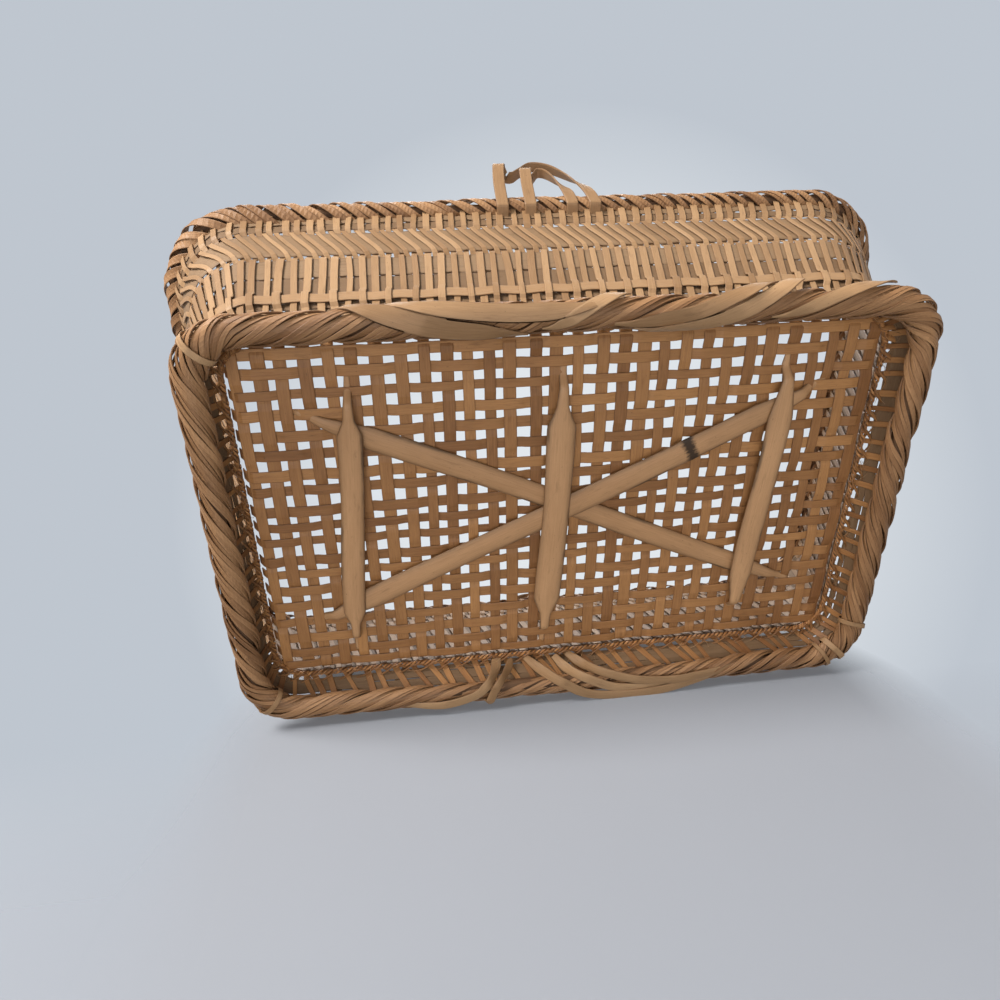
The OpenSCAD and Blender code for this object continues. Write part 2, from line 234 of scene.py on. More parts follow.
@dataclass(frozen=True)
class BambooFinish:
    """Split bamboo: tone differs from strip to strip, fibres run along, stains come and go.

    Attributes:
        name: the material's name, the same as the record's slot where it has one.
        pale: the palest colour.
        deep: the deepest colour.
        stain_and_edge_shade: colour of real stains and threads, and of the painted shade at the strip's edges.
        grain: how the fibres run.
        streak: how much the fibres change the tone.
        roughness: mean roughness.
        relief: strength of the bump.
        tone_share: share of the strip's own number in the tone.
        slow_share: share of the slow change.
        region_share: share of the change over the basket.
        level_shift: what is taken off the tone.
        stain_rise: level and gain at which stains show.
        stain_share: strength of stains.
        thread_rise: level and gain at which threads show.
        thread_share: strength of threads on a strip.
        skin_thread_share: strength of threads on culm skin.
        edge_shade_power: how close to the edge the painted shade darkens a strip.
        edge_shade_share: strength of that painted shade.
        speck_rise: level and gain at which specks show.
        speck_share: strength of specks.
        bark_side: level and gain across the strip at which bark is left on.
        bark_along: level and gain of the slow change at which bark is left on.
        bark_share: strength of bark.
        ring_weights: shares of mark, specks and stains in a growth ring, and what is taken off.
        ring_rise: gain and limit of a growth ring.
        rough_fibre: how much the fibres change the roughness.
        rough_stain: how much stains add to it.
        rough_range: lowest and highest roughness.
        bump_depth: depth of the bump in metres.
        bump_shares: shares of fibres and threads in it.
        gloss: specular level.
    """

    name: str
    pale: Colour
    deep: Colour
    stain_and_edge_shade: Colour
    grain: Grain = Grain.STRIP
    streak: float = 0.55
    roughness: float = 0.52
    relief: float = 0.35
    tone_share: float = 0.8
    slow_share: float = 0.6
    region_share: float = 0.5
    level_shift: float = 0.22
    stain_rise: Pair = (0.58, 5.0)
    stain_share: float = 0.5
    thread_rise: Pair = (0.56, 6.0)
    thread_share: float = 0.5
    skin_thread_share: float = 0.3
    edge_shade_power: float = 4.0
    edge_shade_share: float = 0.8
    speck_rise: Pair = (0.69, 14.0)
    speck_share: float = 0.6
    bark_side: Pair = (0.72, 6.0)
    bark_along: Pair = (0.52, 9.0)
    bark_share: float = 0.7
    ring_weights: tuple[float, float, float, float] = (2.2, 1.4, 1.8, 0.75)
    ring_rise: Pair = (6.0, 0.95)
    rough_fibre: float = 0.22
    rough_stain: float = 0.15
    rough_range: Pair = (0.2, 0.95)
    bump_depth: float = 0.5 * MM
    bump_shares: Pair = (0.7, 0.3)
    gloss: float = 0.35

    def material(self) -> bpy.types.Material:
        """Builds the node tree.

        The tone mixes pale and deep by the strip's own number and a slow noise along it. Two stretched
        noises in the strip's UV give fibres, a third gives stains, and the edges of the strip are darkened
        as painted shade of the crevices between strips.

        Returns:
            The finished material.
        """
        made = bpy.data.materials.new(self.name)
        shader = Shader(made)
        uv = shader.node("ShaderNodeUVMap", {"uv_map": "strip"}, {})
        tone = self._attribute(shader, "tone")
        mark = self._attribute(shader, "mark")
        across = self._attribute(shader, "across")
        solid = shader.node("ShaderNodeTexCoord", {}, {}, "Object")
        fibre = FIBRE.over(shader, uv)
        fine = FINE.over(shader, uv)
        slow = SLOW.over(shader, uv)
        patch = PATCH.over(shader, uv)
        speck = SPECK.over(shader, uv)
        region = REGION.over(shader, solid)
        level = tone * self.tone_share + slow * self.slow_share + (fibre - NOISE_MEAN) * self.streak
        level = level + (region - NOISE_MEAN) * self.region_share - self.level_shift
        colour = shader.mix(level.clamp(0.0, 1.0), rgba(self.deep), rgba(self.pale))
        stained = patch.above(*self.stain_rise) * self.stain_share
        colour = shader.mix(stained, colour, rgba(self.stain_and_edge_shade))
        skin = self.grain is Grain.SKIN
        threads = fine.above(*self.thread_rise) * (self.skin_thread_share if skin else self.thread_share)
        colour = shader.mix(threads, colour, rgba(self.stain_and_edge_shade))
        # Painted shade: the strip darkens towards its edges, standing for the shade in the crevices between
        # strips.
        edge = (across**self.edge_shade_power) * self.edge_shade_share
        colour = shader.mix(edge, colour, rgba(self.stain_and_edge_shade))
        dots = speck.above(*self.speck_rise) * self.speck_share
        if skin:
            bark = across.above(*self.bark_side) * slow.above(*self.bark_along) * self.bark_share
            dots = 1.0 - (1.0 - dots) * (1.0 - bark)
        colour = shader.mix(dots, colour, rgba(BARK))
        by_mark, by_speck, by_patch, taken = self.ring_weights
        gain, limit = self.ring_rise
        broken = mark * by_mark + (speck - NOISE_MEAN) * by_speck + (patch - NOISE_MEAN) * by_patch - taken
        knot = broken.clamp(0.0, 1.0) * (mark * gain).clamp(0.0, limit)
        colour = shader.mix(knot, colour, rgba(KNOT))
        rough = self.roughness + (fibre - NOISE_MEAN) * self.rough_fibre + stained * self.rough_stain
        raised = fibre * self.bump_shares[0] + fine * self.bump_shares[1]
        bump = shader.node(
            "ShaderNodeBump", {}, {"Strength": self.relief, "Distance": self.bump_depth, "Height": raised}
        )
        dressed = {
            "Base Color": colour,
            "Roughness": rough.clamp(*self.rough_range),
            "Normal": bump,
            "Specular IOR Level": self.gloss,
        }
        closure = shader.node("ShaderNodeBsdfPrincipled", {}, dressed)
        shader.node("ShaderNodeOutputMaterial", {}, {"Surface": closure})
        return made

    @staticmethod
    def _attribute(shader: Shader, name: str) -> Socket:
        """Reads a number that the mesh stores on its points."""
        return shader.node("ShaderNodeAttribute", {"attribute_name": name}, {}, "Fac")


LIGHT = BambooFinish(
    name="bamboo_light",
    pale=(0.6, 0.372, 0.19),
    deep=(0.32, 0.178, 0.077),
    stain_and_edge_shade=(0.15, 0.078, 0.036),
    streak=0.8,
)
MID = BambooFinish(
    name="bamboo_mid",
    pale=(0.7, 0.345, 0.122),
    deep=(0.25, 0.1, 0.031),
    stain_and_edge_shade=(0.13, 0.058, 0.023),
    streak=0.85,
)
# Partly painted shade: a warmer tone of its own, darkened further to stand for the shade on the hoops that lie
# behind the stakes.
WARM_SHADED = BambooFinish(
    name="bamboo_warm",
    pale=(0.37, 0.238, 0.13),
    deep=(0.21, 0.123, 0.06),
    stain_and_edge_shade=(0.09, 0.046, 0.021),
    roughness=0.62,
)
PLAITED = BambooFinish(
    name="bamboo_plaited",
    pale=(0.69, 0.385, 0.18),
    deep=(0.2, 0.088, 0.031),
    stain_and_edge_shade=(0.09, 0.04, 0.016),
    streak=0.95,
)
# Painted shade: a very dark bamboo for the plait cores, standing for the shade deep inside a plait.
SHADED = BambooFinish(
    name="bamboo_shaded",
    pale=(0.16, 0.08, 0.036),
    deep=(0.08, 0.04, 0.018),
    stain_and_edge_shade=(0.04, 0.02, 0.01),
    roughness=0.75,
)
SPLIT = BambooFinish(
    name="bamboo_split",
    pale=(0.54, 0.305, 0.148),
    deep=(0.32, 0.166, 0.071),
    stain_and_edge_shade=(0.15, 0.08, 0.036),
    grain=Grain.SKIN,
    streak=0.8,
    roughness=0.46,
    relief=0.4,
)


def unit(vectors: Array) -> Array:
    """Scales vectors along the last axis to length one."""
    return vectors / np.maximum(np.linalg.norm(vectors, axis=-1, keepdims=True), TINY)


def ease(values: Array) -> Array:
    """Smooth step of values limited to 0..1: three squared minus two cubed."""
    limited = np.clip(values, 0.0, 1.0)
    return limited * limited * (3.0 - 2.0 * limited)


def widen(share: Array, tip: Union[Array, float], gain: float) -> Array:
    """Widens from a tip to the full width: tip + (1 - tip) * ease(share * gain)."""
    return tip + (1.0 - tip) * ease(share * gain)


def through_points(knots: Array, steps: int) -> Array:
    """Smooth courses through given points.

    On each span the course is the cubic whose end slopes are half the chords beside it.

    Args:
        knots: courses by points by coordinates.
        steps: points on each finished course.

    Returns:
        Courses by steps by coordinates.
    """
    spans = knots.shape[1] - 1
    place = np.linspace(0.0, spans, steps)
    start = np.minimum(place.astype(int), spans - 1)
    share = (place - start)[None, :, None]
    before = knots[:, np.maximum(start - 1, 0)]
    first, second = knots[:, start], knots[:, start + 1]
    after = knots[:, np.minimum(start + 2, spans)]
    bend = 2 * before - 5 * first + 4 * second - after
    turn = 3 * (first - second) + after - before
    return 0.5 * (2 * first + (second - before) * share + bend * share**2 + turn * share**3)


# Section of a strip: across and through, in half widths and half thicknesses, with softened edges.
FLAT_SECTION = np.array(
    [
        (-1.0, -0.45),
        (-0.86, -1.0),
        (0.86, -1.0),
        (1.0, -0.45),
        (1.0, 0.45),
        (0.86, 1.0),
        (-0.86, 1.0),
        (-1.0, 0.45),
    ]
)
# Section of a split half culm: flat inner face, round back.
BACK_ANGLES = np.radians(np.linspace(180.0, 360.0, 11))
CULM_SECTION = np.vstack(
    [np.column_stack([np.cos(BACK_ANGLES), 0.35 + 1.35 * np.sin(BACK_ANGLES)]), [(0.93, 0.8), (-0.93, 0.8)]]
)
# Section of a thin round strand.
STRAND_ANGLES = np.radians(np.arange(0.0, 360.0, 60.0))
STRAND_SECTION = np.column_stack([np.cos(STRAND_ANGLES), np.sin(STRAND_ANGLES)])


@dataclass
class StripSet:
    """Many like strips in one mesh: each is a section carried along its own path.

    Attributes:
        path: centre lines, strips by steps by three.
        facing: directions that the strips' faces look to, same shape.
        half_width: half width of each strip at each step.
        half_thick: half thickness of each strip at each step.
        closed: whether each path joins its own start.
        section: section points in half widths and half thicknesses.
        mark: darkening of each step, for growth rings.
        tone: tone of each strip between 0 and 1, drawn at random when left out.
        ground: lowest height; what would lie lower is pressed flat there.
        slide: longest random shift of the pattern along a strip and across it, in metres.
    """

    path: Array
    facing: Array
    half_width: Array
    half_thick: Array
    closed: bool = False
    section: Optional[Array] = None
    mark: Optional[Array] = None
    tone: Optional[Array] = None
    ground: float = -1.0
    slide: Pair = (40.0, 9.0)

    def _frames(self) -> tuple[Array, Array]:
        """Works out the strip's own axes.

        The run is the path's central difference; across is facing crossed with run; through is run crossed
        with across.

        Returns:
            Unit vectors across the strip and through it.
        """
        if self.closed:
            run = np.roll(self.path, -1, axis=1) - np.roll(self.path, 1, axis=1)
        else:
            run = np.gradient(self.path, axis=1)
        run = unit(run)
        across = unit(np.cross(self.facing, run))
        through = unit(np.cross(run, across))
        return across, through

    def _faces(self, strips: int, steps: int, ring: int) -> tuple[Array, Array]:
        """Indexes the quads round every strip and the caps at its ends.

        Args:
            strips: number of strips.
            steps: steps along each.
            ring: points in the section.

        Returns:
            Quads and, for open strips, end caps.
        """
        spans = steps if self.closed else steps - 1
        base = (np.arange(strips) * steps * ring)[:, None, None]
        here = (np.arange(spans) * ring)[None, :, None]
        there = (((np.arange(spans) + 1) % steps) * ring)[None, :, None]
        point = np.arange(ring)[None, None, :]
        following = ((np.arange(ring) + 1) % ring)[None, None, :]
        corners = [here + point, there + point, there + following, here + following]
        quads = np.stack([base + corner for corner in corners], -1).reshape(-1, 4)
        if self.closed:
            return quads, np.zeros((0, ring), int)
        first = base[:, 0, :] + np.arange(ring)[None, :]
        last = base[:, 0, :] + (steps - 1) * ring + np.arange(ring)[None, ::-1]
        return quads, np.vstack([first, last])

    def mesh(self, name: str, rng: np.random.Generator) -> bpy.types.Object:
        """Builds the object: point = path + across * half width * a + through * half thickness * b.

        Args:
            name: the object's name.
            rng: seeded numbers for each strip's tone.

        Returns:
            The object with UVs along and across each strip and its tone, mark and across attributes.
        """
        section = FLAT_SECTION if self.section is None else self.section
        strips, steps, _ = self.path.shape
        ring = len(section)
        across, through = self._frames()
        wide = np.broadcast_to(self.half_width, (strips, steps))
        thick = np.broadcast_to(self.half_thick, (strips, steps))
        offset = (
            across[:, :, None, :] * (wide[:, :, None] * section[None, None, :, 0])[..., None]
            + through[:, :, None, :] * (thick[:, :, None] * section[None, None, :, 1])[..., None]
        )
        points = (self.path[:, :, None, :] + offset).reshape(-1, 3)
        points[:, 2] = np.maximum(points[:, 2], self.ground)
        quads, caps = self._faces(strips, steps, ring)
        faces = quads.tolist() + caps.tolist()
        mesh = bpy.data.meshes.new(name)
        mesh.from_pydata(points, [], faces)
        stride = np.linalg.norm(np.diff(self.path, axis=1, prepend=self.path[:, :1]), axis=-1)
        along = np.cumsum(stride, axis=1) + rng.uniform(0.0, self.slide[0], (strips, 1))
        shape = (strips, steps, ring)
        u = np.broadcast_to(along[:, :, None], shape).ravel()
        v = (np.broadcast_to(section[None, None, :, 0], shape) * wide[:, :, None]).ravel()
        v = v + np.repeat(rng.uniform(0.0, self.slide[1], strips), steps * ring)
        drawn = rng.uniform(0.0, 1.0, strips) if self.tone is None else self.tone
        tone = np.repeat(drawn, steps * ring)
        mark = np.zeros((strips, steps)) if self.mark is None else self.mark
        self._attributes(
            mesh,
            u,
            v,
            {
                "tone": tone,
                "mark": np.broadcast_to(mark[:, :, None], shape).ravel(),
                "across": np.broadcast_to(np.abs(section[None, None, :, 0]), shape).ravel(),
            },
        )
        mesh.validate()
        built = bpy.data.objects.new(name, mesh)
        bpy.context.scene.collection.objects.link(built)
        return built

    @staticmethod
    def _attributes(mesh: bpy.types.Mesh, u: Array, v: Array, values: dict[str, Array]) -> None:
        """Stores the strip coordinates as a UV map and the named values on the points.

        Args:
            mesh: the mesh to fill.
            u: distance along the strip, one per point.
            v: distance across the strip, one per point.
            values: attribute name to one number per point.
        """
        corner = np.empty(len(mesh.loops), np.int32)
        mesh.loops.foreach_get("vertex_index", corner)
        layer = mesh.uv_layers.new(name="strip")
        layer.data.foreach_set("uv", np.column_stack([u[corner], v[corner]]).astype(np.float32).ravel())
        for key, numbers in values.items():
            attribute = mesh.attributes.new(key, "FLOAT", "POINT")
            attribute.data.foreach_set("value", numbers.astype(np.float32))


def dress(
    piece: bpy.types.Object,
    finish: bpy.types.Material,
    nodes: Sequence[str],
    smooth: bool = False,
) -> None:
    """Gives a piece its finish and its place in the frame.

    Args:
        piece: the object.
        finish: its material.
        nodes: the CAD nodes that it stands for.
        smooth: whether its faces shade smoothly.
    """
    piece.data.materials.append(finish)
    piece.data.polygons.foreach_set("use_smooth", np.full(len(piece.data.polygons), smooth))
    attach(piece, "root")
    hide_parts(*nodes)
    LOG.info("%s: %d faces", piece.name, len(piece.data.polygons))


@dataclass
class Outline:
    """Sizes of the basket read from the frame, and the rounded rectangle that every strip follows.

    Attributes:
        stakes_long: stakes on the straight part of a long side.
        stakes_short: stakes on the straight part of a short side.
        stakes_corner: stakes round one corner.
        edge_inset: how far the mat's box stops short of the edge of the base.
        corner: corner radius at the edge of the base.
        flat_share: half height of a plait in radii.
        square: share of the spread by which the corners keep square instead of rounding more.
    """

    stakes_long: int = 46
    stakes_short: int = 26
    stakes_corner: int = 8
    edge_inset: float = 1.9 * MM
    corner: float = 17.0 * MM
    flat_share: float = 0.75
    square: float = 0.35

    def __post_init__(self) -> None:
        """Reads the driving sizes from the CAD boxes."""
        mat_low, mat_high = (np.array(side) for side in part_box("base_mat"))
        foot_low, foot_high = (np.array(side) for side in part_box("foot_plait"))
        rim_low, rim_high = (np.array(side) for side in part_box("rim_plait"))
        self.half = mat_high[:2] + self.edge_inset
        self.base_z = (mat_low[2] + mat_high[2]) / 2
        self.foot_r = (foot_high[2] - foot_low[2]) / (2 * self.flat_share)
        self.rim_r = (rim_high[2] - rim_low[2]) / (2 * self.flat_share)
        self.foot_z = (foot_high[2] + foot_low[2]) / 2
        self.rim_z = (rim_high[2] + rim_low[2]) / 2
        self.foot_spread = foot_high[0] - self.foot_r - self.half[0]
        self.rim_spread = rim_high[0] - self.rim_r - self.half[0]
        self.flare = np.arctan2(self.rim_spread, self.rim_z - self.base_z)
        self.stations = 2 * (self.stakes_long + self.stakes_short) + 4 * self.stakes_corner

    def at(self, station: Array) -> tuple[Array, Array]:
        """Place on the inner rectangle and outward direction at each station.

        Stations count stakes round the basket from the start of the +X side. On a straight side the place
        slides along the inner rectangle and the direction stays; round a corner the place stays and the
        direction turns a quarter.

        Args:
            station: station numbers of any shape, wrapped round the basket.

        Returns:
            Places from -1 to 1 along both sides and unit directions, each with a last axis of two.
        """
        counts = np.array([self.stakes_short, self.stakes_corner, self.stakes_long, self.stakes_corner] * 2)
        starts = np.concatenate([[0], np.cumsum(counts)])
        wrapped = np.mod(station, self.stations)
        part = np.clip(np.searchsorted(starts, wrapped, side="right") - 1, 0, len(counts) - 1)
        share = (wrapped - starts[part]) / counts[part]
        first = np.array([(1, -1), (1, 1), (1, 1), (-1, 1), (-1, 1), (-1, -1), (-1, -1), (1, -1)])
        second = np.array([(1, 1), (1, 1), (-1, 1), (-1, 1), (-1, -1), (-1, -1), (1, -1), (1, -1)])
        point = first[part] * (1 - share[..., None]) + second[part] * share[..., None]
        turn = np.where(part % 2 == 1, share, 0.0) * QUARTER + (part // 2) * QUARTER
        angle = np.radians(turn)
        return point, np.stack([np.cos(angle), np.sin(angle)], -1)

    def ring(self, station: Array, spread: Array, height: Array) -> Array:
        """Points that stand outside the edge of the base.

        Point = place * (inner half sides + square) + (corner + spread - square) * outward, where square is
        the part of the spread that goes into longer sides instead of rounder corners.

        Args:
            station: station numbers.
            spread: distance outside the edge of the base.
            height: height above the ground.

        Returns:
            Points with a last axis of three.
        """
        place, out = self.at(station)
        square = (self.square * np.maximum(spread, 0.0))[..., None]
        reach = (self.corner + spread)[..., None] - square
        flat = place * (self.half - self.corner + square) + out * reach
        return np.concatenate([flat, np.broadcast_to(height, station.shape)[..., None]], -1)

    def outward(self, station: Array, tilt: Array) -> Array:
        """Directions tilted up from outward: cos tilt * outward + sin tilt * up.

        Args:
            station: station numbers.
            tilt: tilt in radians.

        Returns:
            Unit directions.
        """
        _, out = self.at(station)
        tilt = np.broadcast_to(tilt, station.shape)
        return np.concatenate([out * np.cos(tilt)[..., None], np.sin(tilt)[..., None]], -1)

    def wall(self, station: Array, height: Array, offset: Array) -> Array:
        """Points of the flaring wall: the cone at that height plus an offset along its normal.

        Args:
            station: station numbers.
            height: height on the wall's middle surface.
            offset: distance outward from that surface.

        Returns:
            Points with a last axis of three.
        """
        spread = self.rim_spread * (height - self.base_z) / (self.rim_z - self.base_z)
        spread = spread + offset * np.cos(self.flare)
        return self.ring(station, spread, height - offset * np.sin(self.flare))


@dataclass
class Wall:
    """Hoops and the two families of stakes that hold them.

    Attributes:
        stake_half: half width of a stake.
        strip_half_thick: half thickness of every strip.
        layer: distance between the hoops and the stakes beside them.
        cross: height over which a stake passes through the wall.
        lean_stations: stations by which a slanting stake moves on in its row.
        twist: stations by which all stakes move on from bottom to top.
        row_slim: share of their width that slanting stakes lose in their row.
        row_raise: how far both edges of the slanting row stand above the CAD hoops.
        narrow_drop: how far the narrow hoop lies below the CAD one.
        ends: how far the stakes stay clear of the base and of the rim's middle.
        sway: spread of the stakes' sway in stations.
        sway_height: height in which the sway turns by one radian.
        stray: spread of the upright stakes' own lean in stations.
        narrow_ramp: height over which a stake steps over the narrow hoop.
        narrow_step: how far it steps out, in half thicknesses.
        upright_play: least and most width of an upright stake.
        slant_stray: spread of the slanting stakes' places in stations.
        slant_spare: height by which the slant runs past its row.
        slant_play: least and most width of a slanting stake.
        hoop_steps: points round a hoop.
        hoop_waves: waves of a hoop at the ground, and how many more there are for each metre of height.
        hoop_swing: height of those waves.
        gap: gap between strips of a hoop.
        row_inset: gap at both edges of the slanting row's hoop, as a share of the row.
        under_rim: how far the uppermost hoop stays under the rim, in radii of the rim.
        double_split: share of the way at which the upper hoop is parted in two.
        outer_layers: how far the narrow hoop stands outside the stakes, in half thicknesses.
        steps: points along a stake.
    """

    line: Outline
    rng: np.random.Generator
    stake_half: float = 1.8 * MM
    strip_half_thick: float = 0.36 * MM
    layer: float = 1.15 * MM
    cross: float = 5.0 * MM
    lean_stations: float = 2.0
    twist: float = 1.3
    row_slim: float = 0.28
    row_raise: Pair = (1.5 * MM, 9.5 * MM)
    narrow_drop: float = 6.0 * MM
    ends: Pair = (1.0 * MM, 2.0 * MM)
    sway: float = 0.05
    sway_height: float = 12.0 * MM
    stray: float = 0.11
    narrow_ramp: float = 3.0 * MM
    narrow_step: float = 5.0
    upright_play: Pair = (0.82, 1.12)
    slant_stray: float = 0.08
    slant_spare: float = 2.0 * MM
    slant_play: Pair = (0.9, 1.14)
    hoop_steps: int = 700
    hoop_waves: Pair = (7.0, 900.0)
    hoop_swing: float = 0.5 * MM
    gap: float = 0.8 * MM
    row_inset: float = 0.09
    under_rim: float = 0.9
    double_split: float = 0.62
    outer_layers: float = 2.4
    steps: int = 60

    def __post_init__(self) -> None:
        """Reads the heights of the rows from the CAD."""
        self.low = self.line.base_z + self.ends[0]
        self.top = self.line.rim_z - self.ends[1]
        self.row_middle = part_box("hoop_middle")[0][2] + self.row_raise[0]
        self.row_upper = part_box("hoop_upper")[0][2] + self.row_raise[1]
        self.narrow_low, self.narrow_high = (side[2] - self.narrow_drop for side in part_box("hoop_narrow"))

    def _inside_share(self, height: Array) -> Array:
        """One across the slanting row and nought elsewhere, easing over the crossing length.

        Args:
            height: heights on the wall.

        Returns:
            The difference of two eased steps, at the lower and the upper edge of the row.
        """
        up = ease((height - self.row_middle) / self.cross + 0.5)
        down = ease((height - self.row_upper) / self.cross + 0.5)
        return up - down

    def _twisted(self, height: Array) -> Array:
        """Stations by which a stake has moved on at a height: all stakes lean alike."""
        return self.twist * ((height - self.low) / (self.top - self.low) - 0.5)

    def upright(self) -> bpy.types.Object:
        """Upright stakes: outside the hoops everywhere but in the slanting row, where they pass inside.

        Every other stake also steps over the narrow hoop. Each leans and sways a little by its own amount.

        Returns:
            The object.
        """
        count = self.line.stations
        one_each = (count, 1)
        height = np.linspace(self.low, self.top, self.steps)[None, :]
        climb = (height - self.row_middle) / (self.row_middle - self.low)
        phase = self.rng.uniform(0.0, FULL_TURN, one_each)
        sway = self.rng.normal(0.0, self.sway, one_each) * np.sin(height / self.sway_height + phase)
        station = np.arange(count)[:, None] + 0.5 + self.rng.normal(0.0, self.stray, one_each) * climb + sway
        station = station + self._twisted(height)
        height = np.broadcast_to(height, station.shape)
        offset = self.layer * (1.0 - 2.0 * self._inside_share(height))
        alternate = (np.arange(count) % 2 == 0)[:, None]
        rise = ease((height - self.narrow_low) / self.narrow_ramp + 1.0)
        wrap = rise - ease((height - self.narrow_high) / self.narrow_ramp)
        offset = offset + alternate * wrap * self.narrow_step * self.strip_half_thick
        path = self.line.wall(station, height, offset)
        facing = self.line.outward(station, -self.line.flare)
        width = self.stake_half * self.rng.uniform(*self.upright_play, one_each)
        return StripSet(path, facing, width, self.strip_half_thick).mesh("stakes_upright", self.rng)

    def slanting(self) -> bpy.types.Object:
        """Slanting stakes: inside the hoops below and above, outside and leaning in the middle row.

        Returns:
            The object.
        """
        count = self.line.stations
        one_each = (count, 1)
        stake = np.arange(count)[:, None] + self.rng.normal(0.0, self.slant_stray, one_each)
        height = np.linspace(self.low, self.top, self.steps)[None, :]
        row = self.row_upper - self.row_middle + 2 * self.slant_spare
        climb = ease((height - self.row_middle + self.slant_spare) / row)
        station = stake - self.lean_stations * (climb - 0.5) + self._twisted(height)
        height = np.broadcast_to(height, station.shape)
        offset = self.layer * (2.0 * self._inside_share(height) - 1.0)
        path = self.line.wall(station, height, offset)
        facing = self.line.outward(station, -self.line.flare)
        width = self.stake_half * self.rng.uniform(*self.slant_play, one_each)
        width = width * (1.0 - self.row_slim * self._inside_share(height))
        return StripSet(path, facing, width, self.strip_half_thick).mesh("stakes_slanting", self.rng)

    def hoop(self, name: str, bands: Sequence[Pair], offset: float) -> bpy.types.Object:
        """Closed hoops, each a flat strip laid round the wall that waves up and down a little.

        Args:
            name: the object's name.
            bands: lowest and highest height of each strip.
            offset: distance outward from the wall's middle surface.

        Returns:
            The object.
        """
        low, high = np.array(bands).T
        station = np.linspace(0.0, self.line.stations, self.hoop_steps, endpoint=False)
        station = np.broadcast_to(station, (len(low), self.hoop_steps))
        least, more = self.hoop_waves
        waves = FULL_TURN * np.round(least + more * low[:, None]) / self.line.stations
        height = ((low + high) / 2)[:, None] + self.hoop_swing * np.sin(station * waves)
        path = self.line.wall(station, height, np.full(station.shape, offset))
        facing = self.line.outward(station, -self.line.flare)
        width = ((high - low) / 2 / np.cos(self.line.flare))[:, None]
        return StripSet(path, facing, width, self.strip_half_thick, closed=True).mesh(name, self.rng)

    def build(self, finishes: dict[str, bpy.types.Material]) -> None:
        """Makes and dresses every strip of the wall.

        Args:
            finishes: slot name to material.
        """
        light, warm_shaded = finishes["bamboo_light"], finishes["bamboo_warm"]
        gap = self.gap
        foot_low, foot_high = (side[2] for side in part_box("hoop_foot"))
        third = (foot_high - foot_low) / 3
        inset = self.row_inset * (self.row_upper - self.row_middle)
        upper = self.line.rim_z - self.under_rim * self.line.rim_r
        split = self.row_upper + self.double_split * (upper - self.row_upper)
        middle = (foot_high + self.row_middle) / 2
        hoops = {
            "hoop_foot": [(foot_low + k * third + gap, foot_low + (k + 1) * third) for k in range(3)],
            "hoop_lower": [(foot_high + gap, middle - gap), (middle, self.row_middle - 2 * gap)],
            "hoop_middle": [(self.row_middle + inset, self.row_upper - inset)],
            "hoop_upper": [(self.row_upper + gap, split - gap), (split, upper)],
        }
        dress(self.upright(), light, ["stakes_lower", "stakes_upper"])
        dress(self.slanting(), light, ["stakes_middle", "stakes_inner"])
        for name, bands in hoops.items():
            dress(self.hoop(name, bands, 0.0), warm_shaded, [name])
        outer = self.layer + self.outer_layers * self.strip_half_thick
        narrow = [(self.narrow_low + gap, self.narrow_high)]
        dress(self.hoop("hoop_narrow", narrow, outer), light, ["hoop_narrow"])


